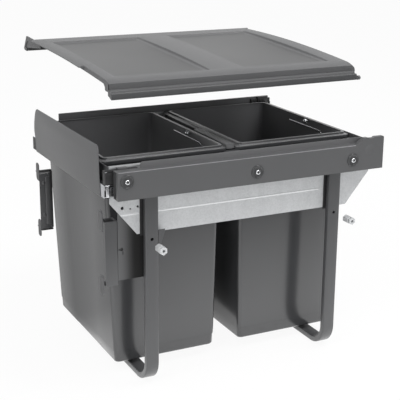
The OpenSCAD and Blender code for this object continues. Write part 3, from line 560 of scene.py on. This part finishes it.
def drill(bm, place, axis, radius, depth, steps=24):
    """Cuts a round hole through a sheet whose faces stand across the axis."""
    place, axis = Vector(place), Vector(axis)
    sides = [side for side in map(Vector, ((1, 0, 0), (0, 1, 0), (0, 0, 1)))
             if abs(side.dot(axis)) < 0.5]
    for side in sides:
        for step in (-1, 1):
            near = [f for f in bm.faces if abs(f.normal.dot(axis)) > 0.99
                    and all(min((v.co - place).dot(s) for v in f.verts) < radius
                            and max((v.co - place).dot(s) for v in f.verts) > -radius
                            for s in sides)
                    and abs((f.calc_center_median() - place).dot(axis)) < depth + 0.5]
            cut(bm, side, place.dot(side) + step * radius * 1.25, parts_of(near))
    squares = [f for f in bm.faces if abs(f.normal.dot(axis)) > 0.99
               and all(abs((f.calc_center_median() - place).dot(s)) < 0.05 for s in sides)
               and f.calc_area() < (radius * 2.6) ** 2]
    rings = []
    for square in squares:
        height = (square.calc_center_median() - place).dot(axis)
        edges = list(square.edges)
        bmesh.ops.delete(bm, geom=[square], context="FACES_ONLY")
        ring = ring_of(bm, place + axis * height, axis, radius, steps)[1]
        bmesh.ops.bridge_loops(bm, edges=edges + ring)
        rings += ring
    if len(squares) == 2:
        bmesh.ops.bridge_loops(bm, edges=rings)


leg_coat = powder_coat("leg_powder_coat", (0.066, 0.067, 0.070), 0.42)
leg_front, leg_back, leg_high, leg_low = -204.8, -192.8, 148, -264
bend_radius, foot_length, hole_z = 45, 170, 20
for name, x in zip(("left_leg", "right_leg"), leg_places):
    leg = bmesh.new()
    top = face_of(leg, [(x - 12.5, leg_front, leg_high), (x + 12.5, leg_front, leg_high),
                        (x + 12.5, leg_back, leg_high), (x - 12.5, leg_back, leg_high)])
    round_over(leg, top.verts, 2.2, 3, "VERTICES")
    caps = push(leg, leg.faces[:], (0, 0, leg_low + bend_radius - leg_high))
    bend = bmesh.ops.spin(leg, geom=parts_of(caps), axis=(1, 0, 0), angle=math.radians(90),
                          cent=(x, leg_front + bend_radius, leg_low + bend_radius), steps=14)
    caps = [g for g in bend["geom_last"] if isinstance(g, bmesh.types.BMFace)]
    clear_inside(leg)
    push(leg, caps, (0, foot_length, 0))
    bmesh.ops.recalc_face_normals(leg, faces=leg.faces)
    drill(leg, (x, leg_back, hole_z), (0, 1, 0), 3.0, 13)
    if name == "left_leg":
        along_y(leg, leg_front + 0.05, 2.0, [(x + 12.3, 36), (x + 12.3, 0), (x + 17.1, 8.1),
                                             (x + 24.9, 33), (x + 24.9, 36)])
    whole(leg, name + "_bar", "drawer", "painted", leg_coat, name)
    seal_and_shade_strip = bmesh.new()
    # A black strip beside the bar: painted shade of the gap there.
    bar_between(seal_and_shade_strip, (x - 18.6, x - 12.0), (leg_back - 0.7, leg_back - 0.05), (26, 103.5),
                0.1, 1)
    lathe(seal_and_shade_strip, (x, leg_back + 0.1, hole_z), (0, 1, 0),
          [(0.0, 0.0), (4.2, 0.0), (4.2, 0.5), (0.0, 0.5)], 24)
    whole(seal_and_shade_strip, name + "_seal", "drawer", "black_plastic", black.material)


# The two bins: deep injection mouldings in a glossy dark grey, drawn in towards the foot, with a
# turned-down rim, rounded corners and two slanting creases that stiffen the outer wall. Their
# inside and the top of their rim have paler copies of the colour: painted light on the shaded
# inside and a painted highlight along the rim.
def fit(bm, faces, box):
    """Scales and moves a flat loop so that it fills a box in X and Y, at a height."""
    verts = list(dict.fromkeys(v for f in faces for v in f.verts))
    xs, ys = [v.co.x for v in verts], [v.co.y for v in verts]
    x0, x1, y0, y1, z = box
    centre = Vector(((min(xs) + max(xs)) / 2, (min(ys) + max(ys)) / 2, verts[0].co.z))
    bmesh.ops.scale(bm, vec=((x1 - x0) / (max(xs) - min(xs)), (y1 - y0) / (max(ys) - min(ys)), 1),
                    space=Matrix.Translation(-centre), verts=verts)
    bmesh.ops.translate(bm, vec=Vector(((x0 + x1) / 2, (y0 + y1) / 2, z)) - centre, verts=verts)


bin_x0, bin_x1, bin_y0, bin_y1 = 16.0, 270.0, -141.0, 191.5
rim_top, bin_foot, bin_low = 159.6, -220.9, -244.9


def wall_level(z, inset, sides=(9.5, 11, 5, 2), foot=(28, 18, 11, 6.5)):
    """A loop of the wall: how far it is drawn in grows from the sides' values to the foot's."""
    share = (rim_top - z) / (rim_top - bin_low)
    outer, inner, near, far = [s + share * (f - s) + inset for s, f in zip(sides, foot)]
    return (bin_x0 + outer, bin_x1 - inner, bin_y0 + near, bin_y1 - far, z)


def rim_level(z, share, side=13.0, end=7.0):
    """A loop of the rim: share runs from its outer edge to the inside of the bin's wall."""
    return (bin_x0 + share * side, bin_x1 - share * side, bin_y0 + share * end,
            bin_y1 - share * end, z)


outside = [(bin_low + 0.6, 3.4), (bin_low + 2.0, 1.9), (bin_low + 4.5, 1.1),
           (bin_foot - 0.7, 0.9), (bin_foot, 0.0), (bin_foot + 60, 0), (-60, 0), (40, 0), (74, 0),
           (147.0, 0)]
rim = [(147.0, 0.55), (147.0, 0.10), (147.1, 0.03), (147.7, 0.0), (152.0, 0.0), (153.3, 0.04),
       (154.2, 0.12), (154.6, 0.24), (154.7, 0.46), (155.0, 0.52), (155.6, 0.55), (158.6, 0.57),
       (159.3, 0.61), (rim_top, 0.68), (rim_top, 0.86), (159.2, 0.96)]
inside = [(158.2, 2.0), (120.0, 2.0), (74, 2.0), (40, 2.0), (-60, 2.0), (bin_foot + 1, 2.0),
          (bin_foot, 2.6), (bin_low + 4, 2.8), (bin_low + 2.4, 4.0), (bin_low + 2.0, 6.0)]
crease_top, crease_height, crease_edge = 72, 290, 1.2


def bin_shell():
    """The left bin, pushed up its outside, over its rim and down its inside."""
    shell = bmesh.new()
    x0, x1, y0, y1, z = wall_level(bin_low, 6)
    base = face_of(shell, [(x0, y0, z), (x1, y0, z), (x1, y1, z), (x0, y1, z),
                           (x0, 74, z), (x0, 68, z), (x0, -59, z), (x0, -65, z)])
    corners = [v for v in base.verts if abs(v.co.y - y0) < 0.1 or abs(v.co.y - y1) < 0.1]
    round_over(shell, corners, 8, 6, "VERTICES")
    faces = shell.faces[:]
    for step in ([wall_level(*s) for s in outside] + [rim_level(*s) for s in rim]
                 + [wall_level(*s) for s in inside]):
        faces = push(shell, faces, (0, 0, 0.01))
        fit(shell, faces, step)
    # The base's spare points on the outer side make the edges of the two creases
    for vert in shell.verts:
        if vert.co.x < 60 and -100 < vert.co.y < 150:
            down = max(0.0, min(1.0, (crease_top - vert.co.z) / crease_height))
            side = 1 if vert.co.y > 0 else -1
            groove = abs(vert.co.y) < (71 if side > 0 else 62)
            place = 96 - 12 * down if side > 0 else -54 + 8 * down
            vert.co.y = place + side * (-crease_edge if groove else crease_edge)
            if groove and vert.co.z < 140:
                vert.co.x += 0.5
    return shell


bin_plastic = Finish("bin_plastic", (0.050, 0.051, 0.053), 0.16, IOR=1.52)
flow = bin_plastic.noise(5, 3, (1.0, 1.0, 0.35))
fine = bin_plastic.noise(800, 1)
bin_plastic.feed(Base_Color=bin_plastic.blend(flow, (0.047, 0.048, 0.050), (0.054, 0.055, 0.058)),
                 Roughness=0.13 + 0.07 * flow + 0.03 * fine,
                 Normal=bin_plastic.relief(flow + 0.01 * fine, 0.06, 0.006))
# Paler copies of the bin's colour: painted light inside, a painted highlight on the rim.
inside_painted_light = powder_coat("bin_inside_painted_light", (0.150, 0.151, 0.156), 0.30, 0.3)
rim_painted_highlight = powder_coat("bin_rim_painted_highlight", (0.165, 0.166, 0.170), 0.28, 0.3)
for name, middle_x in (("left_bin", 0.143), ("right_bin", 0.415)):
    shell = bin_shell()
    if name == "right_bin":
        bmesh.ops.scale(shell, vec=(-1, 1, 1), verts=shell.verts)
        bmesh.ops.translate(shell, vec=(558, 0, 0), verts=shell.verts)
    made = whole(shell, name + "_moulding", "drawer", "bin_plastic", bin_plastic.material, name)
    made.data.materials.append(inside_painted_light)
    made.data.materials.append(rim_painted_highlight)
    for face in made.data.polygons:
        inwards = Vector((middle_x - face.center.x, 0.02 - face.center.y, 0))
        # Faces atop the rim take the painted highlight, faces turned inwards the painted light.
        if face.normal.z > 0.15 and face.center.z > 0.1535:
            face.material_index = 2
        elif face.normal.dot(inwards) > 0.004 and face.center.z < 0.154:
            face.material_index = 1

# The divider between the rims at the front: a ribbed strip of grey plastic that keeps the two
# bins apart. Its ribs run from front to back.
strip = bmesh.new()
middle, half, ribs, rib_foot, rib_top = 279, 7.8, 6, 157.4, 158.7
section = [(middle - half, 150), (middle + half, 150)]
for k in range(ribs, 0, -1):
    x = middle - half + k * 2 * half / ribs
    section += [(x, rib_foot), (x - 0.5, rib_top), (x - 1.5, rib_top), (x - 2.0, rib_foot)]
along_y(strip, -134.5, 141.5, section + [(middle - half, rib_foot)])
bmesh.ops.dissolve_degenerate(strip, dist=1e-3, edges=strip.edges)
strip_grey = powder_coat("divider_grey", (0.190, 0.192, 0.197), 0.40)
whole(strip, "ribbed_divider", "drawer", "grey_plastic", strip_grey, "bin_divider")

# Wires and knobs that hold a bag's edge: each wire is bent from bright rod with both ends turned
# into the bin's wall, and each knob is a turned ball on a short neck over it.
left_wall, right_wall, wire_y0, wire_y1, stand_off = 256.6, 528.2, -57.0, 63.0, 2.6
for name, wall, z in (("left_bag_wire", left_wall, 146.8), ("right_bag_wire", right_wall, 145.0)):
    clear = wall - stand_off
    points = [Vector(p) for p in ((wall, wire_y0 - 6, z - 4.4), (clear, wire_y0 - 5, z - 3.8),
                                  (clear, wire_y0, z), (clear, wire_y1, z), (wall, wire_y1, z))]
    route = points[:1]
    for before, here, after in zip(points, points[1:], points[2:]):
        come, go = [(end - here).normalized() * 2.0 for end in (before, after)]
        route += [here + come * (1 - t) ** 2 + go * t ** 2 for t in (0, 0.2, 0.4, 0.6, 0.8, 1)]
    route.append(points[-1])
    curve = bpy.data.curves.new(name, "CURVE")
    curve.dimensions = "3D"
    curve.bevel_depth = 0.00095
    curve.bevel_resolution = 4
    curve.use_fill_caps = True
    line = curve.splines.new("POLY")
    line.points.add(len(route) - 1)
    for point, place in zip(line.points, route):
        point.co = (*(place * 0.001), 1)
    maker = bpy.data.objects.new(name + "_curve", curve)
    scene.collection.objects.link(maker)
    bpy.context.view_layer.update()
    bent = maker.evaluated_get(bpy.context.evaluated_depsgraph_get())
    mesh = bpy.data.meshes.new_from_object(bent)
    bpy.data.objects.remove(maker)
    mesh.materials.clear()
    mesh.materials.append(bright.material)
    for face in mesh.polygons:
        face.use_smooth = True
    wire = bpy.data.objects.new(name, mesh)
    scene.collection.objects.link(wire)
    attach(wire, "drawer")
    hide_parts("bag_wires")
knobs = bmesh.new()
ball, reach, neck = 4.3, 5.6, 1.4
for wall in (left_wall, right_wall):
    turns = [math.radians(150 - 15 * k) for k in range(11)]
    lathe(knobs, (wall, -5.0, 154.8), (-1, 0, 0),
          [(neck, 0.0), (neck, 1.6)]
          + [(ball * math.sin(t), reach + ball * math.cos(t)) for t in turns], 28)
whole(knobs, "bag_knob_buttons", "drawer", "bright_steel", bright.material, "bag_knobs")

# The lid's sheet: one pressing, arched from front to back, with two shallow fields. Its right
# side is rolled over, its left side has a skirt at the front and flares outwards behind it.
lid_x0, lid_x1, lid_y0, lid_y1 = 31.5, 528.5, -152.0, 263.0
crest_y, crest_z, arch_radius = 274.0, 316.0, 4580.0
fields, field_y, skirt_end = [(52.7, 241.7), (308.3, 497.3)], (-121.0, 216.0), -27.0


def arch(y):
    return crest_z - arch_radius + math.sqrt(arch_radius ** 2 - (crest_y - y) ** 2)


def in_fields(point, inset=0.0):
    return any(a + inset < point.x < b - inset for a, b in fields) \
        and field_y[0] + inset < point.y < field_y[1] - inset


def pull(bm, edges, offset):
    """Pulls a wall out of open edges, and gives back its new edges."""
    made = bmesh.ops.extrude_edge_only(bm, edges=edges)["geom"]
    bmesh.ops.translate(bm, vec=offset,
                        verts=[g for g in made if isinstance(g, bmesh.types.BMVert)])
    return [g for g in made if isinstance(g, bmesh.types.BMEdge)]


def open_edges(bm, test):
    return [e for e in bm.edges if e.is_boundary and all(test(v.co) for v in e.verts)]


top = bmesh.new()
face_of(top, [(lid_x0, lid_y0, 0), (lid_x1, lid_y0, 0), (lid_x1, lid_y1, 0), (lid_x0, lid_y1, 0)])
for x in (x for pair in fields for x in pair):
    cut(top, (1, 0, 0), x)
for y in (*field_y, skirt_end):
    cut(top, (0, 1, 0), y)
for a, b in fields:
    bmesh.ops.dissolve_faces(top, faces=[f for f in top.faces
                                         if a < f.calc_center_median().x < b
                                         and in_fields(f.calc_center_median())])
pans = [f for f in top.faces if in_fields(f.calc_center_median())]
for slope in (1.6, 8.0):
    bmesh.ops.inset_region(top, faces=pans, thickness=slope, depth=0, use_even_offset=True)
for y in [lid_y0 + k * 415 / 24 for k in range(1, 24)] + [lid_y0 + 4, lid_y0 + 9]:
    cut(top, (0, 1, 0), y)
skirt = open_edges(top, lambda p: p.x > lid_x1 - 0.1)
for outwards, down in ((3.4, 0.6), (3.0, 1.8), (2.1, 2.7), (0.9, 3.0), (0.3, 3.4)):
    skirt = pull(top, skirt, (outwards, 0, -down))
pull(top, open_edges(top, lambda p: p.x < lid_x0 + 0.1 and p.y < skirt_end + 0.1),
     (-0.2, 0, -8.5))
pull(top, open_edges(top, lambda p: abs(p.x - lid_x0) < 0.1 and p.y > skirt_end - 0.1),
     (-8.4, 0, -2.4))
gap = [v for v in top.verts if v.co.x < lid_x0 + 0.1 and abs(v.co.y - skirt_end) < 0.1]
bmesh.ops.contextual_create(top, geom=gap)

sunk, taper, taper_y, dip, dip_y = 2.9, 9.5, 20, 3.9, lid_y0 + 20
chord = (arch(field_y[1]) - arch(field_y[0])) / (field_y[1] - field_y[0])
for vert in top.verts:
    flat = arch(field_y[0]) + chord * (vert.co.y - field_y[0])
    rise = arch(vert.co.y)
    if in_fields(vert.co, 9.0):
        vert.co.z += flat - sunk
    elif in_fields(vert.co, 1.0):
        vert.co.z += rise - 0.62 * (rise - flat + sunk) - 0.6
    else:
        vert.co.z += rise
    if vert.co.x > 525 and vert.co.y > taper_y:
        vert.co.x -= taper * ((vert.co.y - taper_y) / (lid_y1 - taper_y)) ** 2
    if vert.co.y < dip_y:
        vert.co.z -= dip * ((dip_y - vert.co.y) / (dip_y - lid_y0)) ** 2
bmesh.ops.recalc_face_normals(top, faces=top.faces)
if sum(f.normal.z * f.calc_area() for f in top.faces) < 0:
    bmesh.ops.reverse_faces(top, faces=top.faces)
round_over(top, [e for e in top.edges if len(e.link_faces) == 2
                 and math.degrees(e.calc_face_angle(0)) > 20], 1.3, 3)
bmesh.ops.solidify(top, geom=top.verts[:] + top.edges[:] + top.faces[:], thickness=2.2)

lid_paint = Finish("lid_paint", (0.055, 0.056, 0.058), 0.30, IOR=1.42)
across_x, across_y = lid_paint.along("X"), lid_paint.along("Y")
pan_x, pan_y, ledge_front = ((0.0615, 0.233), (0.317, 0.4885)), (-0.112, 0.207), -0.1655
in_left, in_right = [(across_x > a) * (across_x < b) for a, b in pan_x]
pan_mask = (in_left + in_right) * (across_y > pan_y[0]) * (across_y < pan_y[1])
stipple, veil = lid_paint.noise(1500, 1), lid_paint.noise(6, 2)
coat = lid_paint.blend(pan_mask * 0.8 + 0.2 * veil, (0.108, 0.109, 0.112), (0.012, 0.013, 0.014))
lid_paint.feed(Base_Color=lid_paint.blend(across_y < ledge_front, coat, (0.050, 0.051, 0.053)),
               Roughness=0.44 - 0.10 * pan_mask + 0.08 * (stipple - 0.5),
               Normal=lid_paint.relief(stipple * (1 - 0.9 * pan_mask), 0.25, 0.0003))
whole(top, "lid_sheet", "lid", "grey_paint", lid_paint.material, "lid_panel")

# The lid's front: a wall under the sheet, a return around its left corner, and a stepped ledge
# with a groove, all folded from the same sheet. The rear edge slopes down to a short lip.
edge_z = arch(lid_y0) - dip
front_edge = bmesh.new()
along_y(front_edge, lid_y0, 2.5,
        [(x, edge_z - drop) for x, drop in
         ((lid_x0, 0.2), (lid_x1, 0.2), (lid_x1 + 3.4, 0.8), (lid_x1 + 6.4, 2.6),
          (lid_x1 + 8.5, 5.2), (lid_x1 + 9.4, 8.2), (lid_x1 + 9.6, 12.4), (lid_x0, 12.4))])
for start, end, profile in (
        (lid_x0 - 0.3, lid_x0 + 1.3,
         ((lid_y0, 0.4), (lid_y0 + 12, -2.0), (lid_y0 + 24, -4.2), (lid_y0 + 22, 3.6),
          (lid_y0 + 18.4, 5.6), (lid_y0 + 16.6, 8.4), (lid_y0 + 16.2, 12.6),
          (lid_y0 + 12, 14.0), (lid_y0, 14.0))),
        (lid_x0 - 0.3, 532.5,
         ((-149.5, 10.0), (-156.5, 10.4), (-159.4, 11.4), (-160.4, 13.0), (-160.9, 15.8),
          (-162.3, 15.9), (-163.0, 13.9), (-165.4, 13.7), (-167.0, 14.7), (-168, 16.8),
          (-168, 25.2), (-165.5, 25.6), (-165.0, 18.0), (-160.5, 17.4), (-158.5, 14.4),
          (-149.5, 13))),
        (lid_x0 - 0.4, lid_x0 + 1.0,
         ((-150, 10.2), (-156.5, 10.6), (-159.4, 11.6), (-163.0, 14.1), (-167.8, 17.0),
          (-167.8, 25.0), (-163, 25.0), (-155, 21.5), (-150, 21.0)))):
    along_x(front_edge, start, end - start, [(y, edge_z - drop) for y, drop in profile])
whole(front_edge, "lid_front_apron", "lid", "grey_paint", lid_paint.material)

rear_edge = bmesh.new()
along_x(rear_edge, lid_x0, lid_x1 - lid_x0,
        [(lid_y1 + y, arch(lid_y1) - drop) for y, drop in
         ((-2.5, 0.4), (0, 0), (57, 15.6), (60, 16.9), (61, 19.5), (61, 30), (58.5, 30),
          (58.5, 20), (56.5, 18.4), (0, 3.4), (-2.5, 3.2))])
whole(rear_edge, "lid_rear_slope", "lid", "grey_paint", lid_paint.material)

# The hanger at the lid's left rear corner, an arm with a web and three folds under it, and the
# peg that guides the lid's right front corner: a short pin with a rounded head.
hanger = bmesh.new()
tail, fold_x = 333.5, (lid_x0 - 1, 80)
along_x(hanger, lid_x0 - 2.5, 2.5,
        [(222, 313.5), (tail - 21, 317.2), (tail - 19, 316), (tail, 290), (tail - 3, 286.5),
         (tail - 17, 285.5), (tail - 17, 292), (tail - 8, 294), (tail - 24, 308.0), (222, 306)])
bar_between(hanger, fold_x, (tail - 8, tail - 5.6), (286, 306), 0.3, 1)
along_x(hanger, lid_x0 - 1.0, 1.0,
        [(222, 303), (222, 309), (tail - 24, 310), (tail - 7, 294), (tail - 17, 292)])
bar_between(hanger, fold_x, (tail - 16, tail - 6), (291.2, 292.4), 0.3, 1)
bar_between(hanger, fold_x, (tail - 17, tail - 15), (285.6, 291.0), 0.5, 2)
whole(hanger, "lid_hanger_arm", "lid", "grey_paint", lid_paint.material, "lid_hanger")
peg = bmesh.new()
lathe(peg, (532.5, -164.5, arch(lid_y0) - 26.0), (1, 0, 0),
      [(2.4, 0.0), (2.4, 3.6), (4.1, 3.6), (4.1, 8.2), (3.3, 9.0), (0.0, 9.0)], 24)
whole(peg, "lid_guide_peg", "lid", "black_plastic", rail_plastic.material, "lid_peg")

# Spacers for the cabinet's front: hexagon bar turned with a groove near its front end, and bored
# from there. Each stands in front of the hole in its leg.
turned = Finish("turned_zinc", (0.60, 0.61, 0.62), 0.40, 0.35)
lines = turned.noise(500, 2, (1.0, 6.0, 1.0))
turned.feed(Base_Color=turned.blend(lines, (0.52, 0.53, 0.54), (0.66, 0.67, 0.68)),
            Roughness=0.34 + 0.12 * lines)
corner = 13 / 2 / math.cos(math.radians(30))
spacer_y, spacer_length, groove, bore = -244.8, 23.0, 5.0, 2.6
for name, x, z in (("left_spacer", 83.0, 18.5), ("right_spacer", 469.5, 20.0)):
    spacer = bmesh.new()
    turn = Matrix.Translation((x, spacer_y, z)) @ Matrix.Rotation(math.radians(90), 4, "X")
    bmesh.ops.create_circle(spacer, cap_ends=True, radius=corner - 0.9, segments=6, matrix=turn)
    caps = spacer.faces[:]
    for length, radius in ((0.6, corner), (14.8, corner), (0.6, corner - 0.8), (0.01, groove),
                           (2.0, groove), (0.01, corner - 0.8), (0.6, corner), (3.6, corner),
                           (0.78, corner - 1.0)):
        caps = push(spacer, caps, (0, -length, 0))
        verts = list(dict.fromkeys(v for f in caps for v in f.verts))
        centre = sum((v.co for v in verts), Vector()) / len(verts)
        size = radius / (verts[0].co - centre).length
        bmesh.ops.scale(spacer, vec=(size, size, size), space=Matrix.Translation(-centre),
                        verts=verts)
    rim = list(caps[0].edges)
    bmesh.ops.delete(spacer, geom=caps, context="FACES_ONLY")
    bmesh.ops.create_circle(spacer, cap_ends=True, radius=bore, segments=24,
                            matrix=Matrix.Translation((0, -spacer_length, 0)) @ turn)
    hole = [f for f in spacer.faces if len(f.verts) == 24]
    bmesh.ops.bridge_loops(spacer, edges=rim + list(hole[0].edges))
    push(spacer, hole, (0, 9, 0))
    whole(spacer, name + "_bar", name + "_body", "bright_steel", turned.material, name)

# The wall brackets: sheet, each a web with a slotted fold at its top and foot, black strips in the
# slots, and two tabs with a screw hole in each. The rear web has a raised panel, two dimples, and
# black strips beside the bin and along its folds. These black strips are painted shade. The glossy
# bins don't mirror the brackets, as they don't in the photo.
for name, y, edge, side in (("wall_bracket_front", -180.0, 4.8, 27.4),
                            ("wall_bracket_rear", 180.0, 0.6, 22.0)):
    web_y = y - 12
    bracket, black_shade_strips = bmesh.new(), bmesh.new()
    bar_between(bracket, (edge, side), (web_y, web_y + 1.5), (-61, 56.5), 0.6, 3)
    for fold in ((-61, -59.5), (56.6, 58.1)):
        bar_between(bracket, (edge, side + 1.5), (web_y + 0.4, web_y + 4.5), fold)
        bar_between(bracket, (edge, side + 1.5), (web_y + 21, web_y + 25), fold)
        bar_between(bracket, (edge, edge + 3.5), (web_y + 4, web_y + 21.5), fold)
        bar_between(bracket, (side - 2, side + 1.5), (web_y + 4, web_y + 21.5), fold)
        # A black strip in the slot: painted shade.
        bar_between(black_shade_strips, (edge + 3, side - 1.5), (web_y + 4.2, web_y + 21.2),
                    (fold[0] - 0.6, fold[1] - 1.0), 0.4)
    for sign in (-1, 1):
        tab = face_of(bracket, [(0, web_y, sign * 42), (0, web_y + 16, sign * 42),
                                (0, web_y + 18, sign * 50), (0, web_y + 18, sign * 78),
                                (0, web_y + 1, sign * 78)])
        corners = [v for v in tab.verts
                   if abs(v.co.z) > 77 or abs(v.co.z) < 43 and v.co.y > web_y + 10]
        round_over(bracket, corners, 6, 4, "VERTICES")
        tab = [f for f in bracket.faces if abs(f.calc_center_median().x) < 0.01
               and len(f.verts) > 8 and f.calc_center_median().z * sign > 0]
        push(bracket, tab, (1.5, 0, 0))
        bmesh.ops.recalc_face_normals(bracket, faces=bracket.faces)
        drill(bracket, (0.75, y, sign * 69), (1, 0, 0), 2.75, 2.0)
    if name == "wall_bracket_rear":
        bar_between(bracket, (13.2, side - 0.2), (web_y - 2.2, web_y + 0.5), (-52, 50), 1.1, 4)
        for z in (36.9, -31.6):
            lathe(bracket, (9.6, web_y, z), (0, -1, 0),
                  [(4.0, 0.0), (3.2, 0.9), (2.0, 1.7), (1.0, 2.0), (0.0, 2.0)], 20)
        # Black strips beside the bin and along the folds: painted shade.
        bar_between(black_shade_strips, (side + 0.2, 27.9), (web_y + 0.2, web_y + 9), (-60, 60), 0.4)
        bar_between(black_shade_strips, (edge + 0.4, 27.6), (web_y + 1.8, web_y + 9), (59.0, 63), 0.6)
        bar_between(black_shade_strips, (edge + 2.4, 27.6), (web_y + 1.8, web_y + 9), (-65.5, -61.6), 0.6)
    for made in (whole(bracket, name + "_pressing", "wall_side", "painted", leg_coat, name),
                 whole(black_shade_strips, name + "_trim", "wall_side", "black_plastic", black.material)):
        made.visible_glossy = False

# The plate between the front bracket and the left leg: flat sheet with a keyhole, sprayed dark.
# Towards the leg its colour is painted down to black: a painted shadow of the leg.
(x0, front, z0), (x1, _, z1) = [[c * 1000 for c in end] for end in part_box("keyhole_plate")]
shield = bmesh.new()
along_y(shield, front + 0.1, 1.2, [(x0, z0), (x1, z0), (x1, z1), (x0, z1)])
bmesh.ops.recalc_face_normals(shield, faces=shield.faces)
drill(shield, (35.8, front, 4.5), (0, 1, 0), 3.2, 4)
shield_coat = Finish("shield_coat", (0.080, 0.081, 0.084), 0.5)
# Darker towards the leg, down to black: painted shadow.
leg_shadow_ramp = shield_coat.ramp(shield_coat.along("X"), 0.030, 0.062, 1.0, 0.0,
                        interpolation_type="SMOOTHSTEP")
mottle = shield_coat.noise(900, 1)
shield_coat.feed(Base_Color=shield_coat.blend(leg_shadow_ramp * (0.94 + 0.06 * mottle),
                                              (0.0015, 0.0015, 0.0015), (0.085, 0.086, 0.089)),
                 Roughness=0.85 - 0.39 * leg_shadow_ramp)
whole(shield, "keyhole_plate_sheet", "drawer", "painted", shield_coat.material, "keyhole_plate")
keyhole = bmesh.new()
bar_between(keyhole, (x0 + 0.6, 34.0), (front - 0.05, front + 0.4), (3.1, 5.9), 0.02, 1)
bar_between(keyhole, (31.0, 40.6), (front + 1.5, front + 2.1), (-4.0, 9.5), 0.1, 1)
bar_between(keyhole, (36.9, 39.0), (front - 0.05, front + 0.4), (-5.4, 1.0), 0.02, 1)
whole(keyhole, "keyhole_slot_shadow", "drawer", "black_plastic", black.material)

# The rear rail and its latch: a flat bar with rounded edges across the back of the frame, and a
# black plastic catch that clips over its right end.
bar = bmesh.new()
bar_between(bar, (59.5, 554.5), (206.5, 211.5), (134, 169), 1.2, 3)
whole(bar, "rear_rail_bar", "drawer", "painted", dark_coat, "rear_rail")
latch = bmesh.new()
for x, y, z in (((508.8, 533), (201, 206.5), (154, 165)),
                ((523.6, 547.6), (198, 206.5), (154, 169.5)),
                ((547.6, 556.6), (201.5, 206.5), (154, 165)),
                ((527, 531), (196.8, 199), (158, 166)),
                ((537, 543), (197, 199), (157, 163)),
                ((552, 556.7), (199.5, 203), (150.5, 157))):
    bar_between(latch, x, y, z, 0.8, 2)
whole(latch, "rear_latch_catch", "drawer", "black_plastic", black.material, "rear_latch")
